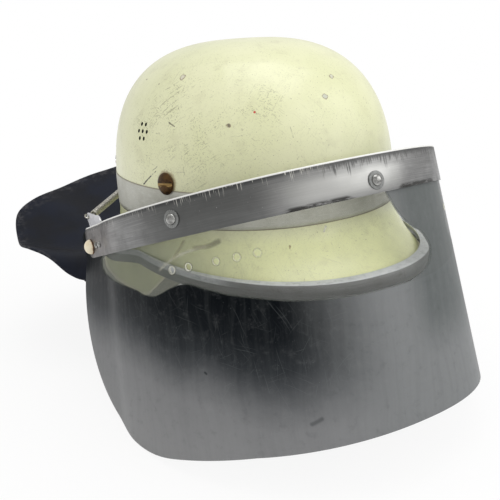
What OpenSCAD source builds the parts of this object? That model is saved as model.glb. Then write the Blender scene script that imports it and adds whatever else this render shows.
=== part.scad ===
// Fire helmet with a clip-on swivelling face visor.
// +Z is up as worn, the front is -Y and the wearer's right side is -X.
// The origin is the centre of the head opening, level with the crease where the dome meets the skirt.
// Angle t goes round the helmet: 0 at the front, 90 at the wearer's right, 180 at the back.

/* [Shell] */
// Length of the dome at the crease
shell_len = 252; // [244:1:260]
// Width of the dome at the crease
shell_wid = 214; // [206:1:220]
// Height of the crown above the crease
crown_h = 125; // [115:1:135]
// Sheet thickness of the shell
wall = 1.5; // [1.2:0.1:2]
// Fullness of the dome's profile
dome_full = 2.74; // [2.4:0.02:2.9]
// How far the brim runs forward of the dome
brim_reach = 42.5; // [36:0.5:46]
// How far the neck skirt runs back from the dome
neck_reach = 14; // [8:0.5:18]
// Depth of the brim's edge below the crease
brim_drop = 35.5; // [33:0.5:38]
// Depth of the ear lobes below the crease
ear_drop = 67.5; // [60:0.5:74]
// How far the ear lobes and the neck skirt flare to each side
ear_flare = 16; // [10:0.5:18]
// Depth of the neck edge below the crease
neck_drop = 48; // [44:1:54]
// Turn of the skirt's flare from the crease to its edge, in degrees
flare_turn = 42; // [30:1:55]

/* [Shell fittings] */
// Height of the reflective stripe
stripe_h = 26; // [20:1:30]
// Thickness of the reflective tape
tape_t = 0.3; // [0.2:0.05:0.4]
// Diameter of a vent hole
vent_d = 3; // [2:0.2:4]
// Distance between vent holes
vent_pitch = 6; // [5:0.5:8]
// Height of the vent group above the crease
vent_z = 65; // [55:1:75]
// Diameter of a liner screw's head
screw_head_d = 16; // [12:1:18]
// Diameter of a liner screw's shank
screw_d = 6; // [5:0.5:7]
// Height of the liner screws above the crease
screw_z = 30.5; // [28:0.5:34]

/* [Liner] */
// Gap between the shell and the liner's outer ring
liner_gap = 8; // [6:0.5:10]
// Head size, as half the front-to-back length inside the sweatband
head_a = 100.5; // [96:0.5:103]
// Head size, as half the width inside the sweatband
head_b = 81.5; // [77:0.5:83.5]
// Thickness of the sweatband leather
leather_t = 2; // [1.5:0.1:2.4]
// Height of the sweatband
sweat_h = 36; // [30:1:42]
// Height of the leather crown above the sweatband
cradle_h = 64; // [56:1:70]
// Number of leather tongues in the crown
tongue_count = 8; // [6:1:9]
// Height of the outer ring
ring_h = 22; // [18:1:26]

/* [Chin strap] */
// Width of the chin strap
strap_w = 16; // [14:1:18]
// Thickness of the chin strap
strap_t = 2.2; // [1.8:0.1:2.6]

/* [Neck guard] */
// Thickness of the neck guard leather
guard_t = 2.4; // [2:0.1:3]
// Length of the neck guard behind the rim
guard_len = 122; // [100:2:130]
// Half the width of the neck guard
guard_wid = 160; // [150:2:170]
// Height of the guard's radial folds
guard_fold = 2; // [1:0.5:4]

/* [Rail] */
// Height of the rail's face
rail_h = 11; // [10:0.5:13]
// Sheet thickness of the rail
rail_t = 1.2; // [1:0.1:1.5]
// Width of the ledge on top of the rail
ledge_w = 9; // [7:0.5:11]
// Width of the lip under the brim
lip_w = 5; // [4:0.5:7]

/* [Pivots] */
// Distance of the visor's pivot behind the centre
pivot_y = 51; // [47:0.5:54]
// Height of the visor's pivot
pivot_z = -34; // [-35:0.5:-33]
// Diameter of the pivot screw
pivot_d = 5; // [4:0.5:6]
// Diameter of the pivot's domed cap
cap_d = 13; // [11:0.5:15]
// Thickness of the washer between the rail and the visor plate
washer_t = 2.3; // [2:0.1:2.4]

/* [Visor] */
// How far the visor stands out from the shell's crease at each side
visor_side = 25; // [24.5:0.5:29]
// How far the visor stands out from the brim's edge in front
visor_ahead = 3.2; // [2.5:0.1:6]
// How much the visor narrows to each pivot
visor_narrow = 3; // [2:0.1:3.2]
// Height of the metal band above the pivots
band_up = 16.5; // [14:0.5:18]
// Height of the metal band below the pivots
band_down = 9.5; // [8:0.5:11]
// Sheet thickness of the band
band_t = 1; // [0.8:0.1:1.2]
// Width of the flange turned in along the band's top
flange_w = 7; // [4:0.5:9]
// Depth of the clear plate below the pivots
plate_drop = 160; // [140:2:175]
// Thickness of the clear plate
plate_t = 1.5; // [1.2:0.1:2]
// Radius of the plate's big rear corners
plate_corner = 135; // [100:1:138]
// How far the plate's lower rear sides spring outwards
plate_flare = 30; // [10:1:35]
// Tilt of the visor at rest, front up, in degrees
visor_tilt = 17.8; // [14:0.2:30]

/* [Spring] */
// Outer diameter of the retaining spring
spring_d = 6.6; // [5.5:0.1:7.5]
// Diameter of the spring's wire
wire_d = 1.3; // [1:0.1:1.6]
// Number of curls drawn in the spring
curls = 62; // [40:1:66]

/* [Hidden] */
$fn = 48;

// Clearances: a running fit, a face-to-face seat and a loose passage
fit = 0.05;
seat = 0.3;
plate_seat = 0.3;
washer_gap = 0.1;

half_len = shell_len / 2;
half_wid = shell_wid / 2;

// Half width and reach of the visor, and half widths at the pivots, outside: of its band and of the rail
visor_w = half_wid + visor_side;
visor_front = half_len + brim_reach + visor_ahead;
visor_end_x = visor_w - visor_narrow;
rail_end_x = visor_end_x - band_t - plate_seat - plate_t - washer_t - 2 * washer_gap;

// Shell
plan_n = 2.15;
ear_reach = 0.3;
rear_n = 2.9;
ear_start = 62;
ear_full = 90;
ear_fade = 96;
neck_start = 134;
flare_start = 86;
flare_full = 110;
shell_steps = 60;
stripe_seat = 0.05;

// Signed power, blend and smooth step
function spow(v, e) = sign(v) * pow(abs(v), e);
function mix(p, q, f) = p + (q - p) * f;
function ease(v, lo, hi) = let(s = min(1, max(0, (v - lo) / (hi - lo)))) s * s * (3 - 2 * s);
function unit(v) = v / norm(v);

// Rounded-oval plan with its own reach to the front and the back
function oval(wid, front, back, t) =
    [-wid * spow(sin(t), 2 / plan_n), -(cos(t) >= 0 ? front : back) * spow(cos(t), 2 / plan_n)];

// Plan of the skirt's edge, which is wider and squarer behind the ears
function rim_plan(t) = let(
        n = cos(t) < 0 ? rear_n : plan_n,
        wid = half_wid + ear_reach + (ear_flare - ear_reach) * ease(side_angle(t), flare_start, flare_full),
        len = cos(t) < 0 ? half_len + neck_reach : half_len + brim_reach)
    [-wid * spow(sin(t), 2 / n), -len * spow(cos(t), 2 / n)];

// Depth of the skirt's edge at angle t
function side_angle(t) = abs(t > 180 ? 360 - t : t);
function edge_drop(t) = let(q = side_angle(t))
    brim_drop + (ear_drop - brim_drop) * ease(q, ear_start, ear_full)
    - (ear_drop - neck_drop) * ease(q, ear_fade, neck_start);

// Outer surface of the shell: u runs from -1 at the edge, through 0 at the crease, to 1 at the crown
function skirt_pt(t, v) = let(
        crease = oval(half_wid, half_len, half_len, t),
        rim = rim_plan(t),
        k = (1 - cos(flare_turn * v)) / (1 - cos(flare_turn)),
        p = mix(crease, rim, k))
    [p[0], p[1], -edge_drop(t) * sin(flare_turn * v) / sin(flare_turn)];
function dome_pt(t, u) = let(
        k = pow(cos(90 * u), 2 / dome_full),
        p = oval(half_wid, half_len, half_len, t) * k)
    [p[0], p[1], crown_h * pow(sin(90 * u), 2 / dome_full)];
function shell_pt(t, u) = u < 0 ? skirt_pt(t, -u) : dome_pt(t, u);
function shell_n(t, u) = u > 0.999 ? [0, 0, 1] : let(
        du = 0.004,
        dt = shell_pt(t + 0.5, u) - shell_pt(t - 0.5, u),
        dv = shell_pt(t, min(u + du, 0.9995)) - shell_pt(t, max(u - du, -1)))
    unit(cross(dv, dt));
// A point that lies off the shell's outer surface by d
function off_shell(t, u, d) = shell_pt(t, u) + shell_n(t, u) * d;

// Where a height lies on the surface
function dome_u(z) = asin(pow(z / crown_h, dome_full / 2)) / 90;
function skirt_u(t, z) = -asin(-z / edge_drop(t) * sin(flare_turn)) / flare_turn;
function surf_u(t, z) = z < 0 ? skirt_u(t, z) : dome_u(z);

stripe_u = dome_u(stripe_h);
skirt_rings = [-1, -0.86, -0.7, -0.52, -0.34, -0.17];
dome_rings = [0, dome_u(stripe_h / 2), stripe_u, 0.14, 0.22, 0.32, 0.42, 0.52, 0.62, 0.72, 0.82, 0.91, 0.97];
shell_rings = concat(skirt_rings, dome_rings);

// Triangles of a grid of points with rows rows and cols columns; closed joins the last column to the first
function grid_faces(rows, cols, closed, first, flip) = [
    for (i = [0 : rows - 2], j = [0 : cols - (closed ? 1 : 2)]) let(
        a = first + i * cols + j,
        b = first + i * cols + (j + 1) % cols,
        c = a + cols,
        d = b + cols)
    for (f = flip ? [[a, c, b], [b, c, d]] : [[a, b, c], [b, d, c]]) f];

// A closed skin between two grids of the same size, such as both faces of a sheet
module sheet(top, under, rows, cols, closed) {
    n = rows * cols;
    step = closed ? 1 : 2;
    rim = [for (j = [0 : cols - step]) let(a = j, b = (j + 1) % cols)
        for (f = [[a, n + a, b], [b, n + a, n + b]]) f];
    last = (rows - 1) * cols;
    head = [for (j = [0 : cols - step]) let(a = last + j, b = last + (j + 1) % cols)
        for (f = [[a, b, n + a], [b, n + b, n + a]]) f];
    ends = closed ? [] : [for (i = [0 : rows - 2]) let(
            a = i * cols, b = a + cols, c = i * cols + cols - 1, d = c + cols)
        for (f = [[a, b, n + a], [b, n + b, n + a], [c, n + c, d], [d, n + c, n + d]]) f];
    polyhedron(concat(top, under), concat(grid_faces(rows, cols, closed, 0, false),
        grid_faces(rows, cols, closed, n, true), rim, head, ends), convexity = 6);
}

// Puts children on the shell at angle t and height z, with +Z along the outward normal
module on_shell(t, z) {
    u = surf_u(t, z);
    n = shell_n(t, u);
    translate(shell_pt(t, u)) rotate([0, acos(n[2]), atan2(n[1], n[0])]) children();
}

// Both sides of the helmet
module both_sides() {
    children();
    mirror([1, 0, 0]) children();
}

// Shell
function skin(d) = concat([for (u = shell_rings) for (j = [0 : shell_steps - 1])
    off_shell(360 * j / shell_steps, u, d)],
    [[0, 0, crown_h + d]]);
module shell_blank() {
    cols = shell_steps;
    rows = len(shell_rings);
    n = rows * cols + 1;
    last = (rows - 1) * cols;
    crown = [for (j = [0 : cols - 1]) [last + j, last + (j + 1) % cols, n - 1]];
    crown_in = [for (j = [0 : cols - 1]) [n + last + (j + 1) % cols, n + last + j, 2 * n - 1]];
    rim = [for (j = [0 : cols - 1]) let(a = j, b = (j + 1) % cols)
        for (f = [[a, n + a, b], [b, n + a, n + b]]) f];
    polyhedron(concat(skin(0), skin(-wall)), concat(grid_faces(rows, cols, true, 0, false), crown,
        grid_faces(rows, cols, true, n, true), crown_in, rim), convexity = 6);
}
liner_screw_t = [67.4, 128];
stud_t = [124, 152, 180];
stud_z = -24;
stud_d = 3.6;
vent_t = 82;
hole_deep = 12;
module vent_cluster() {
    on_shell(vent_t, vent_z) for (k = [0 : 6])
        rotate(60 * k + 30) translate([k == 6 ? 0 : vent_pitch, 0, -hole_deep / 2])
            cylinder(h = hole_deep, d = vent_d);
}
module screw_holes(d) {
    both_sides() for (t = liner_screw_t) on_shell(t, screw_z)
        translate([0, 0, -2 * hole_deep]) cylinder(h = 3 * hole_deep, d = d);
}
module on_studs() {
    for (t = stud_t) {
        on_shell(t, stud_z) children();
        if (t < 180) mirror([1, 0, 0]) on_shell(t, stud_z) children();
    }
}
module shell() {
    color([0.87, 0.88, 0.72]) difference() {
        shell_blank();
        both_sides() vent_cluster();
        screw_holes(screw_d + 2 * seat);
        on_studs() translate([0, 0, -hole_deep / 2]) cylinder(h = hole_deep, d = stud_d + seat);
    }
}

// Stripe of reflective tape round the dome, just above the crease
stripe_rings = [0, dome_u(stripe_h / 2), stripe_u];
module reflective_stripe() {
    cols = shell_steps;
    outer = [for (u = stripe_rings, j = [0 : cols - 1]) off_shell(360 * j / cols, u, stripe_seat + tape_t)];
    inner = [for (u = stripe_rings, j = [0 : cols - 1]) off_shell(360 * j / cols, u, stripe_seat)];
    color([0.66, 0.68, 0.64]) sheet(outer, inner, len(stripe_rings), cols, true);
}

// Liner rings
ring_t = 1.2;
ring_z = 19;
dome_at_screw = pow(1 - pow(screw_z / crown_h, dome_full), 1 / dome_full);
outer_ring_a = half_len * dome_at_screw - wall - liner_gap;
outer_ring_b = half_wid * dome_at_screw - wall - liner_gap;
inner_ring_t = 0.9;
inner_ring_h = 12;
sweat_a = head_a + leather_t;
sweat_b = head_b + leather_t;
inner_ring_a = sweat_a + inner_ring_t + 0.2;
inner_ring_b = sweat_b + inner_ring_t + 0.2;
sweat_z = -10;
sweat_top = sweat_z + sweat_h;
oval_steps = 72;
module oval_ring(a, b, t, h) {
    linear_extrude(height = h) difference() {
        polygon([for (j = [0 : oval_steps - 1]) oval(b, a, a, 360 * j / oval_steps)]);
        polygon([for (j = [0 : oval_steps - 1]) oval(b - t, a - t, a - t, 360 * j / oval_steps)]);
    }
}
module outer_ring() {
    color([0.62, 0.63, 0.64]) difference() {
        translate([0, 0, ring_z]) oval_ring(outer_ring_a, outer_ring_b, ring_t, ring_h);
        screw_holes(screw_d + seat);
        strap_rivet_axes() translate([-hole_deep, 0, hanger_top - hanger_rivet_in]) rotate([0, 90, 0])
            cylinder(h = 2 * hole_deep, d = strap_rivet_d + 2 * fit);
    }
}
module inner_ring() {
    color([0.62, 0.63, 0.64]) translate([0, 0, sweat_top - inner_ring_h])
        oval_ring(inner_ring_a, inner_ring_b, inner_ring_t, inner_ring_h);
}
module sweatband() {
    color([0.36, 0.24, 0.15]) translate([0, 0, sweat_z]) oval_ring(sweat_a, sweat_b, leather_t, sweat_h);
}

// Liner screws with slotted heads outside, a spacer behind the shell and a nut inside the outer ring
screw_slot = 1.8;
screw_head_h = 2.6;
spacer_d = 12;
nut_d = 13;
nut_h = 3.5;
shell_to_ring = wall + liner_gap;
spacer_seat = 0.7;
nut_seat = 1.1;
nut_depth = shell_to_ring + ring_t + nut_seat;
module liner_screws() {
    color([0.32, 0.22, 0.13]) both_sides() for (t = liner_screw_t) on_shell(t, screw_z) difference() {
        union() {
            translate([0, 0, 2 * seat]) cylinder(h = 1, d = screw_head_d);
            translate([0, 0, 2 * seat + 1])
                cylinder(h = screw_head_h - 1, d1 = screw_head_d, d2 = screw_head_d - 3);
            translate([0, 0, -nut_depth - nut_h - 1])
                cylinder(h = nut_depth + nut_h + 1 + 2 * seat, d = screw_d);
        }
        translate([-screw_head_d, -screw_slot / 2, screw_head_h - 1]) cube([2 * screw_head_d, screw_slot, 4]);
    }
}
module liner_spacers() {
    color([0.12, 0.12, 0.12]) both_sides() for (t = liner_screw_t) on_shell(t, screw_z)
        translate([0, 0, -shell_to_ring + seat]) difference() {
            cylinder(h = liner_gap - seat - spacer_seat, d = spacer_d);
            translate([0, 0, -1]) cylinder(h = liner_gap + 2, d = screw_d + seat);
        }
}
module liner_nuts() {
    color([0.7, 0.58, 0.34]) both_sides() for (t = liner_screw_t) on_shell(t, screw_z)
        translate([0, 0, -nut_depth - nut_h]) difference() {
            cylinder(h = nut_h, d = nut_d, $fn = 6);
            translate([0, 0, -1]) cylinder(h = nut_h + 2, d = screw_d + 2 * fit);
        }
}

// Bent leaf springs that hold the inner ring off the outer ring
leaf_t = 0.8;
leaf_h = 10;
leaf_foot = 6;
leaf_lean = 3;
leaf_angles = [20, 98, 160];
leaf_gap = outer_ring_a - ring_t - inner_ring_a;
module leaf() {
    lo = seat / 2;
    hi = leaf_gap - 1.5 * seat;
    linear_extrude(height = leaf_h) {
        polygon([[lo, leaf_lean], [lo, leaf_lean + leaf_foot], [lo + leaf_t, leaf_lean + leaf_foot],
            [lo + leaf_t, leaf_lean + leaf_t], [hi, -leaf_lean], [hi, -leaf_lean - leaf_foot],
            [hi - leaf_t, -leaf_lean - leaf_foot], [hi - leaf_t, -leaf_lean - leaf_t]]);
    }
}
module ring_springs() {
    color([0.55, 0.56, 0.58]) both_sides() for (t = leaf_angles) {
        p = oval(inner_ring_b, inner_ring_a, inner_ring_a, t);
        q = oval(inner_ring_b, inner_ring_a, inner_ring_a, t + 1);
        translate([p[0], p[1], sweat_top - inner_ring_h + 1])
            rotate(atan2(q[1] - p[1], q[0] - p[0]) + 90) leaf();
    }
}

// Leather crown: tongues that rise from the sweatband and meet round the lace
tongue_t = 1.8;
tongue_tip = 73;
tongue_rows = 7;
tongue_cols = 5;
tongue_step = 360 / tongue_count;
lace_turn = 70.4;
lace_d = 1.8;
lace_wave = 3.2;
lace_hole = 6.4;
lace_steps = 96;
function cradle_pt(t, rise, d) = let(
        p = oval(head_b + leather_t / 2 + d, head_a + leather_t / 2 + d,
            head_a + leather_t / 2 + d, t) * cos(rise))
    [p[0], p[1], sweat_top + seat + (cradle_h + d) * sin(rise)];
function tongue_half(f) = tongue_step * (0.43 - 0.11 * sin(180 * f));
module tongue(t0) {
    outer = [for (i = [0 : tongue_rows - 1], j = [0 : tongue_cols - 1]) let(f = i / (tongue_rows - 1))
        cradle_pt(t0 + tongue_half(f) * (2 * j / (tongue_cols - 1) - 1), tongue_tip * f, tongue_t / 2)];
    inner = [for (i = [0 : tongue_rows - 1], j = [0 : tongue_cols - 1]) let(f = i / (tongue_rows - 1))
        cradle_pt(t0 + tongue_half(f) * (2 * j / (tongue_cols - 1) - 1), tongue_tip * f, -tongue_t / 2)];
    sheet(outer, inner, tongue_rows, tongue_cols, false);
}
module crown_tongues() {
    color([0.42, 0.28, 0.17]) difference() {
        for (k = [0 : tongue_count - 1]) tongue(k * tongue_step);
        for (k = [0 : 2 * tongue_count - 1]) translate(cradle_pt((k + 0.5) * tongue_step / 2, lace_turn, 0))
            translate([0, 0, -hole_deep / 2]) cylinder(h = hole_deep, d = lace_hole);
    }
}

// A tube with six sides swept along points; out gives a direction to the side at each point
tube_sides = 6;
module tube(path, out, d, closed) {
    n = len(path);
    ring = [for (i = [0 : n - 1]) let(
            a = path[closed ? (i + n - 1) % n : max(i - 1, 0)],
            b = path[closed ? (i + 1) % n : min(i + 1, n - 1)],
            e3 = unit(b - a),
            e2 = unit(cross(e3, out[i])),
            e1 = cross(e2, e3))
        for (k = [0 : tube_sides - 1])
            path[i] + (e1 * cos(360 * k / tube_sides) + e2 * sin(360 * k / tube_sides)) * d / 2];
    s = tube_sides;
    sides = [for (i = [0 : n - (closed ? 1 : 2)], k = [0 : s - 1]) let(
            a = i * s + k, b = i * s + (k + 1) % s, c = (a + s) % (n * s), e = (b + s) % (n * s))
        for (f = [[a, c, b], [b, c, e]]) f];
    caps = closed ? [] : concat([for (k = [1 : s - 2]) [0, k, k + 1]],
        [for (k = [1 : s - 2]) [(n - 1) * s, (n - 1) * s + k + 1, (n - 1) * s + k]]);
    polyhedron(ring, concat(sides, caps), convexity = 10);
}
module crown_lace() {
    path = [for (i = [0 : lace_steps - 1]) let(t = 360 * i / lace_steps)
        cradle_pt(t, lace_turn, 0) + [0, 0, lace_wave * cos(tongue_count * t)]];
    out = [for (i = [0 : lace_steps - 1]) let(p = oval(1, 1, 1, 360 * i / lace_steps)) [p[0], p[1], 0]];
    color([0.2, 0.15, 0.1]) tube(path, out, lace_d, true);
}

// Chin strap, laid round the back inside the skirt, and its hangers on the outer ring
hanger_t = 1.2;
hanger_w = 14;
strap_z = -34;
strap_a = outer_ring_a - 3;
hanger_y = 8;
hanger_seat = 0.8;
hanger_x = outer_ring_b - ring_t - hanger_seat;
hanger_top = ring_z + ring_h - 4;
hanger_rivet_in = 6;
strap_b = hanger_x + strap_t + hanger_seat;
strap_rivet_d = 3;
strap_rivet_head = 7;
strap_start = 91;
buckle_t = 222;
buckle_w = 24;
buckle_lead = 0.8;
strap_steps = 26;
module strap_rivet_axes() {
    both_sides() translate([-hanger_x, hanger_y, 0]) children();
}
module strap_strip(t1, t2) {
    linear_extrude(height = strap_w) polygon(concat(
        [for (i = [0 : strap_steps]) oval(strap_b, strap_a, strap_a, mix(t1, t2, i / strap_steps))],
        [for (i = [0 : strap_steps]) oval(strap_b - strap_t, strap_a - strap_t, strap_a - strap_t,
            mix(t2, t1, i / strap_steps))]));
}
module strap_rivet_bore() {
    strap_rivet_axes() translate([-hole_deep, 0, strap_z + strap_w / 2]) rotate([0, 90, 0])
        cylinder(h = 2 * hole_deep, d = strap_rivet_d + 2 * fit);
}
// Angle that half the buckle takes up, from the strap's length in one degree
buckle_half_t = (buckle_w / 2 + buckle_lead)
    / norm(oval(strap_b, strap_a, strap_a, buckle_t + 0.5) - oval(strap_b, strap_a, strap_a, buckle_t - 0.5));
module chin_strap_long() {
    color([0.15, 0.13, 0.12]) difference() {
        translate([0, 0, strap_z]) strap_strip(strap_start, buckle_t - buckle_half_t);
        strap_rivet_bore();
    }
}
module chin_strap_short() {
    color([0.15, 0.13, 0.12]) difference() {
        translate([0, 0, strap_z]) strap_strip(buckle_t + buckle_half_t, 360 - strap_start);
        strap_rivet_bore();
    }
}
module strap_hangers() {
    color([0.6, 0.61, 0.62]) both_sides() difference() {
        translate([-hanger_x, hanger_y - hanger_w / 2, strap_z])
            cube([hanger_t, hanger_w, hanger_top - strap_z]);
        for (z = [strap_z + strap_w / 2, hanger_top - hanger_rivet_in])
            translate([-hanger_x - 1, hanger_y, z]) rotate([0, 90, 0])
                cylinder(h = hanger_t + 2, d = strap_rivet_d + 2 * fit);
    }
}
// Rivets through the hanger: one into the ring, one into the strap
module hanger_rivet(z, stack) {
    translate([hanger_t + fit, 0, z]) rotate([0, 90, 0]) cylinder(h = 1.2, d = strap_rivet_head);
    translate([-stack, 0, z]) rotate([0, 90, 0]) cylinder(h = stack + hanger_t + 2 * fit, d = strap_rivet_d);
    translate([-stack - 1.2, 0, z]) rotate([0, 90, 0]) cylinder(h = 1.2, d = strap_rivet_head);
}
module strap_rivets() {
    color([0.68, 0.6, 0.4]) both_sides() translate([-hanger_x, hanger_y, 0]) {
        hanger_rivet(hanger_top - hanger_rivet_in, ring_t + hanger_seat + seat);
        hanger_rivet(strap_z + strap_w / 2, strap_t + hanger_seat + 1.5 * seat);
    }
}
buckle_bar = 3;
buckle_d = 2.4;
module strap_buckle() {
    p = oval(strap_b - strap_t / 2, strap_a - strap_t / 2, strap_a - strap_t / 2, buckle_t);
    q = oval(strap_b - strap_t / 2, strap_a - strap_t / 2, strap_a - strap_t / 2, buckle_t + 1);
    win = buckle_w / 2 - 1.5 * buckle_bar;
    color([0.72, 0.64, 0.4]) translate([p[0], p[1], strap_z + strap_w / 2])
        rotate(atan2(q[1] - p[1], q[0] - p[0])) rotate([90, 0, 0])
            translate([0, 0, -buckle_d / 2]) difference() {
                linear_extrude(height = buckle_d) square([buckle_w, strap_w + 2 * buckle_bar], center = true);
                for (s = [-1, 1]) translate([s * (win / 2 + buckle_bar / 2), 0, -1])
                    linear_extrude(height = buckle_d + 2) square([win, strap_w], center = true);
            }
}

// Leather neck guard: a collar studded inside the skirt, turned out under the rim into a flared apron
guard_start = 109;
guard_cols = 37;
collar_seat = 0.9;
guard_in = wall + collar_seat + guard_t / 2;
// The hem from the wearer's right ear to the back centre: share of the half width, distance back, height
rim_back = half_len + neck_reach;
hem = [[-0.7, 78, -72], [-0.78, 93, -76], [-0.875, 107, -69], [-0.95, 122, -56], [-1.01, 147, -49],
    [-1.022, 182, -51], [-0.955, 219, -35], [-0.8, 233, -21],
        [-0.56, 250, -19], [-0.28, 258, -12], [0, 262, -4]];
hem_len = 122;
hem_turn = 140;
function hem_row(i) = i < len(hem) ? hem[i] : let(h = hem[2 * len(hem) - 2 - i]) [-h[0], h[1], h[2]];
function hem_xyz(i) = let(h = hem_row(i))
    [h[0] * guard_wid, h[1] + max(0, h[1] - hem_turn) * (guard_len / hem_len - 1), h[2]];
function hem_pt(f) = let(
        n = 2 * len(hem) - 2, x = f * n, i = min(floor(x), n - 1), s = x - i,
        a = hem_xyz(max(i - 1, 0)), b = hem_xyz(i), c = hem_xyz(i + 1), d = hem_xyz(min(i + 2, n)))
    b + (c - a) * s / 2 + (a * 2 - b * 5 + c * 4 - d) * s * s / 2 + (b * 3 - a - c * 3 + d) * s * s * s / 2;
function guard_t_at(f) = guard_start + (360 - 2 * guard_start) * f;
// Rows: inside collar, turn under the rim, and out to the hem
collar_top = -14;
collar_mid = -30;
guard_folds = 7;
guard_sag = 7;
apron_rows = [0.14, 0.32, 0.52, 0.76, 1];
function guard_row(f, d) = let(
        t = guard_t_at(f),
        rim = shell_pt(t, -1),
        dir = let(p = oval(1, 1, 1, t)) [p[0], p[1], 0],
        under = rim + [0, 0, -guard_t / 2 - wall - collar_seat - 1.6] - dir * (guard_in - 1),
        end = hem_pt(f),
        out = end - under,
        up = unit(cross(cross([out[0], out[1], 0], [0, 0, 1]), out)))
    concat([off_shell(t, surf_u(t, collar_top), -guard_in + d)],
        [for (k = [0 : 3]) off_shell(t, mix(surf_u(t, collar_mid), -0.97, k / 3), -guard_in + d)],
        [under + unit([dir[0], dir[1], 0] + [0, 0, 1]) * d],
        [for (w = apron_rows) under + out * w - [0, 0, guard_sag * sin(180 * pow(w, 0.8))]
            + [0, 0, guard_fold * w * cos(360 * guard_folds * f)] + up * d * sign(up[2])]);
guard_rows = 6 + len(apron_rows);
module guard_sheet() {
    top = [for (i = [0 : guard_cols - 1]) each guard_row(i / (guard_cols - 1), guard_t / 2)];
    under = [for (i = [0 : guard_cols - 1]) each guard_row(i / (guard_cols - 1), -guard_t / 2)];
    sheet(top, under, guard_cols, guard_rows, false);
}
module neck_guard() {
    color([0.12, 0.14, 0.19]) difference() {
        guard_sheet();
        on_studs() translate([0, 0, -hole_deep / 2]) cylinder(h = hole_deep, d = stud_d + seat);
    }
}
stud_head_d = 9;
cap_head_d = 11;
stud_len = wall + collar_seat + guard_t + 2;
module guard_studs() {
    color([0.55, 0.52, 0.42]) on_studs() {
        translate([0, 0, seat]) cylinder(h = 1.2, d = stud_head_d);
        translate([0, 0, seat + 1.2]) cylinder(h = 0.8, d1 = stud_head_d, d2 = stud_head_d - 4);
        translate([0, 0, -stud_len]) cylinder(h = stud_len + seat, d = stud_d);
    }
}
module guard_stud_caps() {
    color([0.3, 0.3, 0.3]) on_studs() translate([0, 0, -stud_len - 1]) difference() {
        cylinder(h = 2.4, d = cap_head_d);
        translate([0, 0, 1]) cylinder(h = 2, d = stud_d + 2 * fit);
    }
}

// Plan curve of a U that opens to the back: an oval front, a smooth change of width, then straight ends
// off moves it inwards; it runs from the wearer's right end, round the front, to the left end
function u_side(wid, end_x, y0, y1, y) = end_x + (wid - end_x)
    * (1 + cos(180 * min(1, max(0, (y - y0) / (y1 - y0))))) / 2;
function u_curve(wid, front, end_x, y0, y1, back, n, off, arm, steps) = concat(
    [for (i = [0 : arm - 1]) let(y = mix(back, y0, i / arm)) [-(u_side(wid, end_x, y0, y1, y) - off), y]],
    [for (i = [0 : steps]) let(a = 180 * i / steps)
        [-(wid - off) * spow(cos(a), 2 / n), y0 - (front + y0 - off) * pow(sin(a), 2 / n)]],
    [for (i = [arm - 1 : -1 : 0]) let(y = mix(back, y0, i / arm)) [u_side(wid, end_x, y0, y1, y) - off, y]]);
module u_strip(outer, inner, h) {
    n = len(inner);
    linear_extrude(height = h) polygon(concat(outer, [for (i = [n - 1 : -1 : 0]) inner[i]]));
}

// Rail that grips the brim and carries the visor
rail_n = 2.2;
rail_y0 = -8.5;
rail_y1 = 22;
rail_back = 66;
rail_gap = 0.8;
rail_front = half_len + brim_reach + rail_gap + rail_t;
rail_w = half_wid + ear_reach + rail_gap - 0.2 + rail_t;
rail_top = -28.2;
arm_steps = 8;
front_steps = 40;
lip_back = -88;
function rail_curve(off) =
    u_curve(rail_w, rail_front, rail_end_x, rail_y0, rail_y1, rail_back, rail_n, off, arm_steps, front_steps);
function ledge_in(side, front) = u_curve(rail_w - side, rail_front - front,
    rail_w - side, rail_y0, rail_y0 + 1,
    rail_y0 + 2, rail_n, 0, 1, front_steps);
module brim_rail() {
    color([0.66, 0.67, 0.66]) difference() {
        union() {
            translate([0, 0, rail_top - rail_h]) u_strip(rail_curve(0), rail_curve(rail_t), rail_h);
            translate([0, 0, rail_top - rail_t]) difference() {
                linear_extrude(height = rail_t) polygon(ledge_in(rail_t / 2, rail_t / 2));
                translate([0, 0, -1]) linear_extrude(height = rail_t + 2)
                    polygon(ledge_in(rail_t + rail_gap / 2, ledge_w));
                translate([-rail_w, rail_y0, -1]) cube([2 * rail_w, rail_back, rail_t + 2]);
            }
            translate([0, 0, rail_top - rail_h]) difference() {
                linear_extrude(height = rail_t) polygon(ledge_in(rail_t / 2, rail_t / 2));
                translate([0, 0, -1]) linear_extrude(height = rail_t + 2) polygon(ledge_in(lip_w, lip_w));
                translate([-rail_w, lip_back, -1]) cube([2 * rail_w, rail_back - lip_back, rail_t + 2]);
            }
        }
        pivot_bore(pivot_d + 2 * fit);
        end_rivet_bores();
    }
}
module pivot_bore(d) {
    translate([-visor_w - 20, pivot_y, pivot_z]) rotate([0, 90, 0]) cylinder(h = 2 * visor_w + 40, d = d);
}

// End plates riveted inside the rail's ends: they hold the pivots and the spring's hooks
plate_x = rail_end_x - rail_t - seat / 2;
end_plate_t = 1.2;
boss_r = 12;
lobe_r = 9;
hook_r = 4.4;
lobe_at = [pivot_y - 5, pivot_z + 18];
hook_at = [pivot_y + 20, pivot_z + 20];
hook_hole = 4;
plate_rivets = [-14, -21];
plate_rivet_d = 3;
module strut(p, q, rp, rq) {
    n = unit([q[1] - p[1], p[0] - q[0]]);
    polygon([p + n * rp, q + n * rq, q - n * rq, p - n * rp]);
}
module end_plate_outline() {
    c = [pivot_y, pivot_z];
    translate(c) circle(r = boss_r);
    translate(lobe_at) circle(r = lobe_r);
    translate(hook_at) circle(r = hook_r);
    strut(c, lobe_at, boss_r * 0.97, lobe_r * 0.97);
    strut(lobe_at, hook_at, lobe_r * 0.92, hook_r * 0.98);
    strut(c, hook_at, boss_r * 0.9, hook_r * 0.9);
    translate([pivot_y + plate_rivets[1] - 3.7, pivot_z - 4.5]) square([3.7 - plate_rivets[1], 9]);
}
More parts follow.
